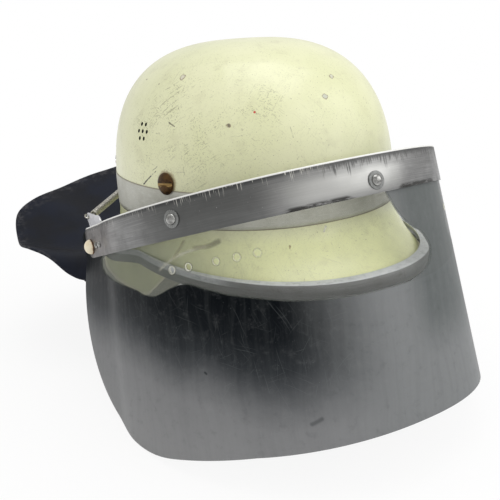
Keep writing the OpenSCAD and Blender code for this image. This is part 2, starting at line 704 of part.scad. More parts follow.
module end_rivet_bores() {
    for (y = plate_rivets) translate([-visor_w - 20, pivot_y + y, pivot_z]) rotate([0, 90, 0])
        cylinder(h = 2 * visor_w + 40, d = plate_rivet_d + 2 * fit);
}
module rail_end_plates() {
    color([0.72, 0.72, 0.7]) difference() {
        both_sides() translate([-plate_x, 0, 0]) rotate([90, 0, 90]) linear_extrude(height = end_plate_t)
            end_plate_outline();
        pivot_bore(pivot_d + 2 * fit);
        end_rivet_bores();
        translate([-visor_w, hook_at[0], hook_at[1]])
            rotate([0, 90, 0]) cylinder(h = 2 * visor_w, d = hook_hole);
    }
}
module end_plate_rivets() {
    out = rail_end_x;
    in = plate_x - end_plate_t;
    color([0.7, 0.7, 0.68]) both_sides() for (y = plate_rivets) translate([0, pivot_y + y, pivot_z]) {
        translate([-out - 0.7, 0, 0]) rotate([0, 90, 0]) cylinder(h = 0.6, d = 2 * plate_rivet_d);
        translate([-out - 0.2, 0, 0]) rotate([0, 90, 0]) cylinder(h = out - in + 0.4, d = plate_rivet_d);
        translate([-in + 0.1, 0, 0]) rotate([0, 90, 0]) cylinder(h = 1, d = 2 * plate_rivet_d);
    }
}

// Pivots: a screw from the inside, a spacing washer and a domed cap outside the band
washer_d = 12;
inner_head_h = 2.4;
inner_head_d = 9;
cap_h = 6;
cap_bore = 2.6;
module pivot_screws() {
    in = plate_x - end_plate_t - 0.1;
    color([0.62, 0.6, 0.55]) both_sides() translate([0, pivot_y, pivot_z]) {
        translate([-in, 0, 0]) rotate([0, 90, 0]) cylinder(h = inner_head_h, d = inner_head_d);
        translate([-visor_end_x - cap_bore, 0, 0]) rotate([0, 90, 0])
            cylinder(h = visor_end_x + cap_bore - in + 0.1, d = pivot_d);
    }
}
module pivot_washers() {
    color([0.6, 0.6, 0.6]) both_sides() translate([-rail_end_x - washer_gap - washer_t, pivot_y, pivot_z])
        rotate([0, 90, 0]) difference() {
            cylinder(h = washer_t, d = washer_d);
            translate([0, 0, -1]) cylinder(h = washer_t + 2, d = pivot_d + 2 * fit);
        }
}
module pivot_caps() {
    r = (pow(cap_d / 2, 2) + pow(cap_h, 2)) / (2 * cap_h);
    color([0.85, 0.8, 0.66]) both_sides()
        translate([-visor_end_x - 0.1, pivot_y, pivot_z]) rotate([0, -90, 0])
        difference() {
            intersection() {
                translate([0, 0, cap_h - r]) sphere(r = r, $fn = 64);
                cylinder(h = cap_h + 1, d = cap_d + 1);
            }
            translate([0, 0, -1]) cylinder(h = cap_bore + 1.1, d = pivot_d + 2 * fit);
        }
}

// Coil spring that pulls the rail's ends together round the back of the shell
spring_r = (spring_d - wire_d) / 2;
spring_off = spring_d / 2 + 0.5;
spring_z = 5;
spring_leave = 150;
curl_steps = 8;
hook_steps = 10;
hook_open = 140;
hook_lead = 5;
hook_c = [-plate_x + end_plate_t / 2, hook_at[0], hook_at[1]];
leave_pt = let(p = oval(half_wid + spring_off, half_len + spring_off, half_len + spring_off, spring_leave))
    [p[0], p[1], spring_z];
run_dir = unit(leave_pt - hook_c);
coil_start = hook_c + run_dir * (spring_r + hook_lead);
run_len = norm(leave_pt - coil_start);
arc_n = 60;
arc_pts = [for (i = [0 : arc_n]) let(t = mix(spring_leave, 360 - spring_leave, i / arc_n))
    concat(oval(half_wid + spring_off, half_len + spring_off, half_len + spring_off, t), spring_z)];
mid_pts = concat([coil_start], arc_pts, [[-coil_start[0], coil_start[1], coil_start[2]]]);
function sum_to(v, i) = i < 0 ? 0 : v[i] + sum_to(v, i - 1);
seg = [for (i = [0 : len(mid_pts) - 2]) norm(mid_pts[i + 1] - mid_pts[i])];
cum = concat([0], [for (i = [0 : len(seg) - 1]) sum_to(seg, i)]);
coil_len = cum[len(cum) - 1];
function find_seg(s, i) = (i >= len(seg) - 1 || cum[i + 1] > s) ? i : find_seg(s, i + 1);
function along(s) = let(i = find_seg(s, 0), f = (s - cum[i]) / seg[i]) mix(mid_pts[i], mid_pts[i + 1], f);
coil_n = curls * curl_steps;
// Each coil point as its centre and its outward direction
coil = [for (i = [0 : coil_n]) let(
        s = coil_len * i / coil_n,
        c = along(s),
        e = unit(along(min(s + 2, coil_len)) - along(max(s - 2, 0))),
        side = unit(cross([0, 0, 1], e)),
        lift = cross(e, side),
        a = 360 * i / curl_steps)
    [c, side * cos(a) + lift * sin(a)]];
function hook_end(c, dir, side) = [for (i = [0 : hook_steps])
    let(a = hook_open - (hook_open + 90) * i / hook_steps)
    [c + dir * spring_r, side * -sin(a) - dir * cos(a)]];
hook_right = hook_end(hook_c, unit([0, run_dir[1], run_dir[2]]), [1, 0, 0]);
hook_left = let(h = hook_right) [for (i = [hook_steps : -1 : 0]) let(p = h[i])
    [[-p[0][0], p[0][1], p[0][2]], [-p[1][0], p[1][1], p[1][2]]]];
wire = concat(hook_right, coil, hook_left);
wire_path = [for (p = wire) p[0] + p[1] * spring_r];
wire_out = [for (p = wire) p[1]];
spring_gap = min([for (i = [0 : len(wire) - 12]) for (j = [i + 6 : i + 11])
    norm(wire_path[i] - wire_path[j])]) - wire_d;
module retaining_spring() {
    echo(spring_self_gap = spring_gap, spring_length = coil_len);
    color([0.75, 0.76, 0.74]) tube(wire_path, wire_out, wire_d, false);
}

// Visor: a metal band over a clear plate, tilted about the pivots
visor_n = 2.2;
visor_y0 = -12;
visor_y1 = 20;
band_back = pivot_y + 12;
plate_back = pivot_y + 28;
band_corner = 8;
flange_back = 14;
plate_top = 14;
plate_top_corner = 12;
function visor_curve(off, back) =
    u_curve(visor_w, visor_front, visor_end_x, visor_y0, visor_y1,
        back, visor_n, off, arm_steps, front_steps);
module tilted() {
    translate([0, pivot_y, pivot_z]) rotate([-visor_tilt, 0, 0])
        translate([0, -pivot_y, -pivot_z]) children();
}
// Side view of the band with its rounded rear corners, pushed through from side to side
module band_side(r) {
    translate([-visor_w - 10, 0, 0]) rotate([90, 0, 90]) linear_extrude(height = 2 * visor_w + 20) {
        translate([-visor_front - 10, pivot_z - band_down])
            square([visor_front + 10 + band_back - r, band_up + band_down]);
        translate([0, pivot_z - band_down + r]) square([band_back, band_up + band_down - 2 * r]);
        translate([band_back - r, pivot_z - band_down + r]) circle(r = r);
        translate([band_back - r, pivot_z + band_up - r]) circle(r = r);
    }
}
rivet_d = 4;
rivet_s = 143;
rivet_rise = 3.6;
rivet_front_rise = -1;
end_rivet_at = [-15, -24];
end_rivet_d = 3;
module visor_band() {
    color([0.6, 0.6, 0.61]) tilted() difference() {
        intersection() {
            union() {
                translate([0, 0, pivot_z - band_down])
                    u_strip(visor_curve(0, band_back), visor_curve(band_t, band_back), band_up + band_down);
                translate([0, 0, pivot_z + band_up - band_t]) difference() {
                    u_strip(visor_curve(band_t / 2, flange_back), visor_curve(flange_w, flange_back), band_t);
                    translate([-visor_w, flange_back, -1]) cube([2 * visor_w, band_back, band_t + 2]);
                }
            }
            band_side(band_corner);
        }
        pivot_bore(pivot_d + 2 * fit);
        on_band_rivets() translate([0, 0, -hole_deep]) cylinder(h = 2 * hole_deep, d = rivet_d + 2 * fit);
        end_band_rivets()
            translate([0, 0, -hole_deep / 2]) cylinder(h = hole_deep, d = end_rivet_d + 2 * fit);
    }
}

// Points on the visor's plan by distance from the front centre, towards the wearer's right
vis_line = visor_curve(0, plate_back);
vis_mid = (len(vis_line) - 1) / 2;
vis_half = [for (i = [vis_mid : -1 : 0]) vis_line[i]];
vis_seg = [for (i = [0 : len(vis_half) - 2]) norm(vis_half[i + 1] - vis_half[i])];
vis_cum = concat([0], [for (i = [0 : len(vis_seg) - 1]) sum_to(vis_seg, i)]);
vis_len = vis_cum[len(vis_cum) - 1];
function vis_seg_at(s, i) = (i >= len(vis_seg) - 1 || vis_cum[i + 1] > s) ? i : vis_seg_at(s, i + 1);
function vis_pt(s) = let(q = abs(s), i = vis_seg_at(q, 0), f = (q - vis_cum[i]) / vis_seg[i],
    p = mix(vis_half[i], vis_half[i + 1], f)) [s < 0 ? -p[0] : p[0], p[1]];
function vis_dir(s) = unit(vis_pt(s + 1) - vis_pt(s - 1));
// Outward direction in plan
function vis_out(s) = let(d = vis_dir(s)) [-d[1], d[0]];
module on_visor(s, rise, depth) {
    p = vis_pt(s);
    o = vis_out(s);
    translate([p[0] - o[0] * depth, p[1] - o[1] * depth, pivot_z + rise])
        rotate([0, 90, atan2(o[1], o[0])]) children();
}
module on_band_rivets() {
    for (s = [-rivet_s, 0, rivet_s]) on_visor(s, s == 0 ? rivet_front_rise : rivet_rise, 0) children();
}
module end_band_rivets() {
    both_sides() for (y = end_rivet_at)
        translate([-visor_end_x, pivot_y + y, pivot_z]) rotate([0, -90, 0]) children();
}
rivet_washer_d = 12.5;
rivet_washer_t = 0.8;
rivet_head_d = 8;
rivet_head_h = 2.6;
stack_t = band_t + plate_seat + plate_t;
module dome_head(d, h) {
    r = (d * d / 4 + h * h) / (2 * h);
    intersection() {
        translate([0, 0, h - r]) sphere(r = r, $fn = 64);
        cylinder(h = h + 1, d = d + 1);
    }
}
module band_rivets() {
    color([0.8, 0.8, 0.78]) tilted() on_band_rivets() {
        translate([0, 0, rivet_washer_t + 2 * seat]) dome_head(rivet_head_d, rivet_head_h);
        translate([0, 0, -stack_t - 0.9])
            cylinder(h = stack_t + 0.9 + rivet_washer_t + 2 * seat + 0.2, d = rivet_d);
        translate([0, 0, -stack_t - 1.7]) cylinder(h = 1.2, d = rivet_head_d);
    }
}
module rivet_washers() {
    color([0.7, 0.7, 0.69]) tilted() on_band_rivets() translate([0, 0, 1.5 * seat]) difference() {
        cylinder(h = rivet_washer_t, d = rivet_washer_d);
        translate([0, 0, -1]) cylinder(h = rivet_washer_t + 2, d = rivet_d + 2 * fit);
    }
}
module end_rivets() {
    color([0.78, 0.77, 0.74]) tilted() end_band_rivets() {
        translate([0, 0, fit]) dome_head(1.8 * end_rivet_d, 1.6);
        translate([0, 0, -stack_t - 2 * fit]) cylinder(h = stack_t + 4 * fit, d = end_rivet_d);
        translate([0, 0, -stack_t - 0.7]) cylinder(h = 0.6, d = 1.8 * end_rivet_d);
    }
}

// Clear plate: deep at the front, with big round rear corners and lower sides that spring outwards
flare_from = 120;
flare_pow = 0.78;
flare_seat = 1;
plate_cols = 61;
plate_rows = 8;
plate_len = vis_len;
side_hole_d = 4.6;
side_hole_s = [88, 102, 117, 139, 154];
side_hole_drop = 29.5;
function plate_low(s) = let(q = max(0, abs(s) - (plate_len - plate_corner)))
    plate_drop - plate_corner + sqrt(max(0, plate_corner * plate_corner - q * q));
function plate_high(s) = let(q = max(0, abs(s) - (plate_len - plate_top_corner)))
    -(plate_top - plate_top_corner + sqrt(max(0, plate_top_corner * plate_top_corner - q * q)));
function plate_pt(s, j, depth) = let(
        h = j == 0 ? plate_high(s) : mix(band_down + flare_seat, plate_low(s), (j - 1) / (plate_rows - 2)),
        o = vis_out(s),
        g = max(0, (abs(s) - flare_from) / (plate_len - flare_from)),
        below = max(0, h - band_down - flare_seat),
        flare = plate_flare * g * pow(below / (plate_drop - band_down - flare_seat), flare_pow),
        p = vis_pt(s) + o * (flare - depth))
    [p[0], p[1], pivot_z - h];
plate_in = band_t + plate_seat;
function plate_s(i) = plate_len * 0.999 * sin(90 * (2 * i / (plate_cols - 1) - 1));
module visor_plate() {
    outer = [for (i = [0 : plate_cols - 1], j = [0 : plate_rows - 1]) plate_pt(plate_s(i), j, plate_in)];
    inner = [for (i = [0 : plate_cols - 1], j = [0 : plate_rows - 1])
        plate_pt(plate_s(i), j, plate_in + plate_t)];
    color([0.75, 0.78, 0.8, 0.4]) tilted() difference() {
        sheet(outer, inner, plate_cols, plate_rows, false);
        pivot_bore(pivot_d + 1);
        on_band_rivets() translate([0, 0, -hole_deep]) cylinder(h = 2 * hole_deep, d = rivet_d + seat);
        end_band_rivets() translate([0, 0, -hole_deep / 2]) cylinder(h = hole_deep, d = end_rivet_d + seat);
        for (s = side_hole_s, k = [-1, 1]) on_visor(k * s, -side_hole_drop, 0)
            translate([0, 0, -hole_deep / 2]) cylinder(h = hole_deep, d = side_hole_d);
    }
}

shell();
reflective_stripe();
liner_screws();
liner_spacers();
liner_nuts();
outer_ring();
inner_ring();
ring_springs();
sweatband();
crown_tongues();
crown_lace();
strap_hangers();
strap_rivets();
chin_strap_long();
chin_strap_short();
strap_buckle();
neck_guard();
guard_studs();
guard_stud_caps();
brim_rail();
rail_end_plates();
end_plate_rivets();
retaining_spring();
pivot_screws();
pivot_caps();
pivot_washers();
visor_band();
visor_plate();
band_rivets();
rivet_washers();
end_rivets();
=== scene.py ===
import functools
import bmesh
import bpy
from math import acos, asin, atan2, copysign, cos, degrees, pi, radians, sin, sqrt
from mathutils import Matrix, Vector
from mathutils.kdtree import KDTree


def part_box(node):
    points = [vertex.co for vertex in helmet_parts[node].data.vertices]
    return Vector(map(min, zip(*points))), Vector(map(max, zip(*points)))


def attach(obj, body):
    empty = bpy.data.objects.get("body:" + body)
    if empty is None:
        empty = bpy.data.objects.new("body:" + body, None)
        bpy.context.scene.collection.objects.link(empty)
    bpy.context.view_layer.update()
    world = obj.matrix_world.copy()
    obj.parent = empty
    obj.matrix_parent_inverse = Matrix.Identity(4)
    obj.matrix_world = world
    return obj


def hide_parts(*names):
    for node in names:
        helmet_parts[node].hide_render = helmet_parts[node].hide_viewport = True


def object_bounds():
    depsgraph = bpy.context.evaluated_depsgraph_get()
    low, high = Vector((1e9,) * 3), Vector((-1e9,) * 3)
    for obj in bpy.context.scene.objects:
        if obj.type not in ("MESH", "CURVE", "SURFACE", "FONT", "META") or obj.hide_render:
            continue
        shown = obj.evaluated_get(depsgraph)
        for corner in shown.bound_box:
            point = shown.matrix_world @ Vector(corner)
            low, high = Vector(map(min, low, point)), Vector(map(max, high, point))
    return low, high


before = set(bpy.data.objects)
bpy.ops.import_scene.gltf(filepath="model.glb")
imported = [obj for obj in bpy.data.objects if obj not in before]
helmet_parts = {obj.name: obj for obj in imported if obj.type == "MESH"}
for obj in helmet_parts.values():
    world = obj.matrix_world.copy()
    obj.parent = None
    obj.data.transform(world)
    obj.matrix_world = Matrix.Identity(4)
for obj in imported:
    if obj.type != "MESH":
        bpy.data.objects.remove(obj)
cad_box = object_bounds()

# The helmet stands in a pale studio. The floor is painted white and lies at the visor's lowest
# point. One large soft lamp hangs over it and one stands in front on the wearer's left.
scene = bpy.context.scene
scene.view_settings.view_transform = "Standard"


class Wire:
    """An output of a shader node, which can be reckoned with like a number"""

    def __init__(self, socket):
        self.socket, self.tree = socket, socket.id_data

    def into(self, kind, sockets=(), out=0, **settings):
        """Feeds a new node's first input, and gives one of that node's outputs"""
        return Wire(node(self.tree, kind, {0: self, **dict(sockets)}, **settings).outputs[out])

    def reckon(self, how, other=0, **settings):
        return self.into("Math", {1: other}, operation=how, **settings)

    __add__ = functools.partialmethod(reckon, "ADD")
    __sub__ = functools.partialmethod(reckon, "SUBTRACT")
    __mul__ = functools.partialmethod(reckon, "MULTIPLY")
    __truediv__ = functools.partialmethod(reckon, "DIVIDE")
    __pow__ = functools.partialmethod(reckon, "POWER")
    __abs__ = functools.partialmethod(reckon, "ABSOLUTE")

    def __rsub__(self, other):
        return Wire(node(self.tree, "Math", {0: other, 1: self}, operation="SUBTRACT").outputs[0])


def plug(made, sockets=(), **named):
    """Links or sets a node's inputs"""
    for key, value in {**dict(sockets), **{k.replace("_", " "): v for k, v in named.items()}}.items():
        if isinstance(value, Wire):
            made.id_data.links.new(value.socket, made.inputs[key])
        else:
            made.inputs[key].default_value = value


def node(tree, kind, sockets=(), **settings):
    made = tree.nodes.new("ShaderNode" + kind)
    for key, value in settings.items():
        setattr(made, key, value)
    plug(made, sockets)
    return made


def most(a, b):
    return a.reckon("MAXIMUM", b)


def rays(tree, *kinds):
    """One for rays of these kinds, and nought for others"""
    path = node(tree, "LightPath")
    return functools.reduce(most, [Wire(path.outputs[f"Is {kind} Ray"]) for kind in kinds])


def show(tree, output, share, a, b):
    """Sends a mix of two shaders to the tree's output"""
    mixed = node(tree, "MixShader", {0: share, 1: Wire(a.outputs[0]), 2: Wire(b.outputs[0])})
    node(tree, output, {"Surface": Wire(mixed.outputs[0])})


studio = bpy.data.worlds.new("studio")
scene.world = studio
studio.use_nodes = True
air = studio.node_tree
air.nodes.clear()
soft_light = node(air, "Background", {"Color": (1, 0.995, 0.985, 1), "Strength": 0.74})
white_wall = node(air, "Background", {"Color": (1, 1, 1, 1), "Strength": 1})
show(air, "OutputWorld", rays(air, "Camera", "Transmission"), soft_light, white_wall)

floor_mesh = bpy.data.meshes.new("studio_floor")
bm = bmesh.new()
bmesh.ops.create_grid(bm, x_segments=1, y_segments=1, size=6)
bmesh.ops.translate(bm, verts=bm.verts, vec=(0, 0, cad_box[0].z - 0.0005))
bm.to_mesh(floor_mesh)
bm.free()
floor = bpy.data.objects.new("studio_floor", floor_mesh)
scene.collection.objects.link(floor)
floor_paint = bpy.data.materials.new("floor_paint")
floor_paint.use_nodes = True
tree = floor_paint.node_tree
tree.nodes.clear()
matt = node(tree, "BsdfDiffuse", {"Color": (0.95, 0.95, 0.95, 1)})
glow = node(tree, "Emission", {"Color": (1, 1, 1, 1), "Strength": 1})
from_middle = Wire(node(tree, "TexCoord").outputs["Object"]).into("VectorMath", out="Value", operation="LENGTH")
paleness = from_middle.into("MapRange", {1: 0.3, 2: 0.9, 3: 0.86, 4: 1}, interpolation_type="SMOOTHSTEP")
show(tree, "OutputMaterial", rays(tree, "Camera", "Glossy", "Transmission") * paleness, matt, glow)
floor_mesh.materials.append(floor_paint)

for name, place, aim, wide, deep, watts in (
        ("ceiling_softbox", (0.1, -0.1, 1.3), (0, -0.02, 0), 1, 1.1, 6.5),
        ("front_softbox", (1, -1.1, 0.75), (0, -0.03, 0), 1.5, 1.3, 7)):
    lamp = bpy.data.lights.new(name, "AREA")
    lamp.shape, lamp.size, lamp.size_y, lamp.energy = "RECTANGLE", wide, deep, watts
    holder = bpy.data.objects.new(name, lamp)
    holder.location = place
    holder.rotation_euler = (Vector(place) - Vector(aim)).to_track_quat("Z", "Y").to_euler()
    scene.collection.objects.link(holder)

photo_eye = bpy.data.cameras.new("photo_eye")
photo_eye.lens, photo_eye.sensor_width = 49.12, 36
photo_eye.clip_start, photo_eye.clip_end = 0.02, 50
eye = bpy.data.objects.new("photo_eye", photo_eye)
bearing, height, roll = (radians(a) for a in (29.4536, 17.5855, -3.9619))
back = Vector((-sin(bearing) * cos(height), -cos(bearing) * cos(height), sin(height)))
level = Vector((cos(bearing), -sin(bearing), 0))
rise = back.cross(level)
across = level * cos(roll) + rise * sin(roll)
upward = rise * cos(roll) - level * sin(roll)
stand = Vector((-0.0052458, 0, -0.051736)) + back * 0.59548
eye.matrix_world = Matrix.Translation(stand) @ Matrix((across, upward, back)).transposed().to_4x4()
scene.collection.objects.link(eye)
scene.camera = eye

# Shell: one piece of aluminium spun and pressed into dome, crease and skirt, and stoved in pale
# luminous yellow lacquer outside and dark grey inside. Years of use have chipped and scratched it.
MM = 0.001
crown, crease_long, crease_wide = 125, 126, 107
rim_front, rim_back, flare_turn = 168.5, 140, 42
dome_full, oval_full, back_full = 2.74, 2.15, 2.9


def spow(v, power):
    """A power that keeps the sign"""
    return copysign(abs(v) ** power, v)


def ease(v, low, high):
    """Rises smoothly from nought at low to one at high"""
    s = min(1, max(0, (v - low) / (high - low)))
    return s * s * (3 - 2 * s)


def oval(wide, long, t, n=oval_full):
    """A place on a full oval, t degrees from the front towards the wearer's right"""
    a = radians(t)
    return Vector((-wide * spow(sin(a), 2 / n), -long * spow(cos(a), 2 / n), 0))


def side_angle(t):
    """Degrees from the front on either side"""
    t %= 360
    return min(t, 360 - t)


def edge_drop(t):
    """How far the rim lies below the crease, in mm"""
    q = side_angle(t)
    return 35.5 + 32 * ease(q, 62, 90) - 19.5 * ease(q, 96, 134)


def shell_point(t, u):
    """A place on the shell in mm; u is -1 at the rim, 0 at the crease and 1 at the crown"""
    if u >= 0:
        a = radians(90 * u)
        p = oval(crease_wide, crease_long, t) * max(0, cos(a)) ** (2 / dome_full)
        p.z = crown * sin(a) ** (2 / dome_full)
        return p
    front = cos(radians(t)) >= 0
    wide = crease_wide + 0.3 + 15.7 * ease(side_angle(t), 86, 110)
    rim = oval(wide, rim_front, t) if front else oval(wide, rim_back, t, back_full)
    turn = radians(-flare_turn * u)
    k = (1 - cos(turn)) / (1 - cos(radians(flare_turn)))
    p = oval(crease_wide, crease_long, t).lerp(rim, k)
    p.z = -edge_drop(t) * sin(turn) / sin(radians(flare_turn))
    return p


def shell_out(t, u):
    """The direction out of the shell at a place"""
    if u > 0.998:
        return Vector((0, 0, 1))
    round_step = shell_point(t + 0.5, u) - shell_point(t - 0.5, u)
    up_step = shell_point(t, min(u + 0.004, 0.9995)) - shell_point(t, max(u - 0.004, -1))
    return up_step.cross(round_step).normalized()


def shell_u(t, z):
    """The u of a height in mm over the crease"""
    if z < 0:
        return -degrees(asin(-z / edge_drop(t) * sin(radians(flare_turn)))) / flare_turn
    return degrees(asin((z / crown) ** (dome_full / 2))) / 90


def seat_at(place, out):
    """A seat for a screw, a rivet or a hole at a place in mm, its axis along out"""
    turn = Matrix.Rotation(atan2(out.y, out.x), 4, "Z") @ Matrix.Rotation(acos(out.z), 4, "Y")
    return Matrix.Translation(place * MM) @ turn


def on_shell(t, z):
    u = shell_u(t, z)
    return seat_at(shell_point(t, u), shell_out(t, u))


def face_out(bm, merge=1e-6):
    """Closes seams and turns a mesh's faces outwards"""
    bmesh.ops.remove_doubles(bm, verts=bm.verts, dist=merge)
    bmesh.ops.recalc_face_normals(bm, faces=bm.faces)


def spin(bm, points, steps, closed=False):
    """Spins a line of points once round the upright axis"""
    line = [bm.verts.new(p) for p in points]
    edges = [bm.edges.new(pair) for pair in zip(line, line[1:] + line[:1] if closed else line[1:])]
    bmesh.ops.spin(bm, geom=line + edges, cent=(0, 0, 0), axis=(0, 0, 1), dvec=(0, 0, 0), angle=2 * pi,
                   steps=steps, use_merge=True, use_duplicate=False)


def spun_skin(us, lift):
    """Lays a skin on the shell, spun from a line of heights and lifted off it by lift mm"""
    bm = bmesh.new()
    spin(bm, [(0, -1, u) for u in us], 180)
    for v in bm.verts:
        t, u = degrees(atan2(-v.co.x, -v.co.y)) % 360, v.co.z
        place = shell_point(t, u)
        if lift:
            place = place + shell_out(t, u) * lift
        v.co = place * MM
    face_out(bm)
    return bm


def smooth_but(mesh, sharp):
    """Shades a mesh smooth but for edges of more than sharp degrees"""
    mesh.polygons.foreach_set("use_smooth", [True] * len(mesh.polygons))
    mesh.set_sharp_from_angle(angle=radians(sharp))


def piece(name, bm, material, stands_for=None, body="helmet", sharp=40):
    """A piece of the scene; stands_for is the CAD node that it replaces"""
    mesh = bpy.data.meshes.new(name)
    bm.to_mesh(mesh)
    bm.free()
    ob = bpy.data.objects.new(name, mesh)
    scene.collection.objects.link(ob)
    for m in material if isinstance(material, (list, tuple)) else [material]:
        mesh.materials.append(m)
    smooth_but(mesh, sharp)
    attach(ob, body)
    if stands_for:
        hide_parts(stands_for)
    return ob


def mesh_of(ob):
    bpy.context.view_layer.update()
    return bpy.data.meshes.new_from_object(ob.evaluated_get(bpy.context.evaluated_depsgraph_get()))


def settle(ob):
    """Turns the modifiers so far into the mesh itself"""
    shape = mesh_of(ob)
    ob.modifiers.clear()
    ob.data = shape
    smooth_but(shape, 40)


def finish_mesh(ob, name, kind, **settings):
    """Adds a modifier"""
    change = ob.modifiers.new(name, kind)
    for key, value in settings.items():
        setattr(change, key, value)


def wall(ob, thick, side=-1, **settings):
    """Gives a skin its thickness in mm, behind it for a side of -1"""
    finish_mesh(ob, "wall", "SOLIDIFY", thickness=thick * MM, offset=side, **settings)


def soften(ob, wide, angle=0.9, **settings):
    """Rounds the edges sharper than an angle, wide in mm"""
    finish_mesh(ob, "soft_edge", "BEVEL", width=wide * MM, segments=2, limit_method="ANGLE", angle_limit=angle,
                **settings)


def bit(bm, radius, long, place, segments=20):
    """A round bit, sizes in mm, that points along the place's axis"""
    bmesh.ops.create_cone(bm, cap_ends=True, segments=segments, radius1=radius * MM, radius2=radius * MM,
                          depth=long * MM, matrix=place)


def drill(ob, bits):
    """Cuts the solids of bits, a bmesh, out of the piece"""
    mesh = bpy.data.meshes.new("bits")
    bits.to_mesh(mesh)
    bits.free()
    tool = bpy.data.objects.new("bits", mesh)
    scene.collection.objects.link(tool)
    cut = ob.modifiers.new("cut", "BOOLEAN")
    cut.object, cut.operation, cut.solver = tool, "DIFFERENCE", "EXACT"
    settle(ob)
    bpy.data.objects.remove(tool)


def srgb(r, g, b):
    return tuple((c / 255 / 12.92 if c <= 10 else ((c / 255 + 0.055) / 1.055) ** 2.4) for c in (r, g, b)) + (1,)


def finish_of(name, **fixed):
    """A new material, its shader and the place on the piece"""
    m = bpy.data.materials.new(name)
    m.use_nodes = True
    shader = m.node_tree.nodes["Principled BSDF"]
    plug(shader, **fixed)
    return m, shader, Wire(node(m.node_tree, "TexCoord").outputs["Object"])


def noise(at, scale, detail=3, rough=0.5, stretch=None, turn=None):
    if turn:
        at = at.into("Mapping", {"Rotation": turn})
    if stretch:
        at = at.into("Mapping", {"Scale": stretch})
    return at.into("TexNoise", {"Scale": scale, "Detail": detail, "Roughness": rough})


def ramp(value, low, high, bottom=0, top=1):
    return value.into("MapRange", {1: low, 2: high, 3: bottom, 4: top}, interpolation_type="SMOOTHSTEP")


def tint(share, a, b):
    """Mixes two colours; one that isn't a wire is written as red, green and blue up to 255"""
    a, b = (c if isinstance(c, Wire) else srgb(*c) for c in (a, b))
    return share.into("Mix", {6: a, 7: b}, 2, data_type="RGBA")


def coats(colour, *layers):
    """Lays (share, colour) layers over a colour"""
    return functools.reduce(lambda under, layer: tint(layer[0], under, layer[1]), layers, colour)


def relief(height, strength, depth, below=None):
    sockets = {"Height": height, "Strength": strength, "Distance": depth}
    if below is not None:
        sockets["Normal"] = below
    return Wire(node(height.tree, "Bump", sockets).outputs[0])


def stored(at, key):
    """A number that the mesh keeps for each point"""
    return Wire(node(at.tree, "Attribute", attribute_name=key).outputs["Fac"])


def part_of(at, axis):
    return at.into("SeparateXYZ", out=axis)


def vector(a, how, b, out=0):
    return a.into("VectorMath", {"Scale" if how == "SCALE" else 1: b}, out, operation=how)


def apart(at, point):
    return vector(at, "DISTANCE", [c * MM for c in point], "Value")


def line_gap(at, start, end):
    """Distance from a straight line on the piece"""
    start, run = Vector(start) * MM, (Vector(end) - Vector(start)) * MM
    rel = vector(at, "SUBTRACT", start)
    along = vector(rel, "DOT_PRODUCT", run / run.length_squared, "Value").reckon("ADD", use_clamp=True)
    near = Wire(node(at.tree, "VectorMath", {0: run, "Scale": along}, operation="SCALE").outputs[0])
    return vector(rel, "DISTANCE", near, "Value")


def unrest(at, scale, detail):
    """A random direction for each place"""
    return vector(at.into("TexNoise", {"Scale": scale, "Detail": detail}, "Color"), "SUBTRACT", (0.5, 0.5, 0.5))


def hairlines(at, narrow, soft, top, *bundles):
    """Bundles of long fine scratches: how short they are, how they are turned and how rare"""
    return functools.reduce(most,
                            [ramp(noise(at, 1, 1, 0.5, (short, *narrow), turn), rare, rare + soft, 0, top)
                             for short, turn, rare in bundles])


def curve_through(value, *points):
    """A smooth curve through (value, result) points, in mm"""
    values, results = ([n * MM for n in row] for row in zip(*points))
    first, last, low, high = values[0], values[-1], min(results), max(results)
    shape = node(value.tree, "FloatCurve", {1: value.into("MapRange", {1: first, 2: last})})
    knots = shape.mapping.curves[0].points
    spots = [((v - first) / (last - first), (r - low) / (high - low)) for v, r in zip(values, results)]
    knots[0].location, knots[-1].location = spots[0], spots[-1]
    for spot in spots[1:-1]:
        knots.new(*spot)
    shape.mapping.update()
    return Wire(shape.outputs[0]).into("MapRange", {3: low, 4: high})


screw_seats = [on_shell(t, 30.5) for t in (67.4, 128, 232, 292.6)]
lacquer, shader, at = finish_of("luminous_lacquer", Coat_Weight=0.25, Coat_Roughness=0.09)
wobble = unrest(at, 420, 2)
shaky = vector(at, "ADD", vector(wobble, "SCALE", 0.0008))
ragged = vector(at, "ADD", vector(wobble, "SCALE", 0.004))
skin = tint(ramp(noise(at, 14, 5, 0.6), 0.35, 0.65), (230, 231, 192), (222, 224, 181))
# painted light: the lacquer of the brim below the crease is painted paler, standing in for light
brim_painted_light = ramp(part_of(at, "Z"), -0.012, 0, 1, 0)
grime = ramp(noise(at, 70, 8, 0.65), 0.5, 0.74, 0, 0.22)
specks = ramp(noise(at, 950, 2, 0.5), 0.67, 0.73, 0, 0.6)
skin = coats(skin, (brim_painted_light, (240, 243, 190)), (grime, (170, 165, 130)), (specks, (128, 118, 92)))
worn = ramp(apart(at, (-92, -50, 66)), 0.012, 0.07, 1, 0.2)
worn = most(worn, ramp(apart(at, (-55, -92, 82)), 0.008, 0.045, 0.75, 0.2))
patches = ramp(noise(at, 30, 4, 0.6), 0.4, 0.6)
fine = hairlines(shaky, (1150, 1150), 0.06, 1, (26, (0.3, 0.5, 0.9), 0.64), (40, (0.2, -0.9, 0.3), 0.65),
                 (20, (0.9, 1.3, -0.4), 0.65), (34, (1.7, 0.2, 0.8), 0.66))
fine = fine * ramp(noise(at, 55, 3, 0.6), 0.4, 0.6, 0.15, 0.75)
crumbs = ramp(noise(ragged, 480, 3, 0.65), 0.62, 0.68, 0, 0.8) * patches
cracks = ragged.into("TexVoronoi", {"Scale": 46}, "Distance", feature="DISTANCE_TO_EDGE")
cracks = ramp(cracks, 0.003, 0.011, 0.8, 0) * ramp(noise(at, 34, 4, 0.7), 0.52, 0.66)
fine = most(most(fine, crumbs), cracks) * worn
skin = tint(fine * 0.8, skin, (112, 106, 78))
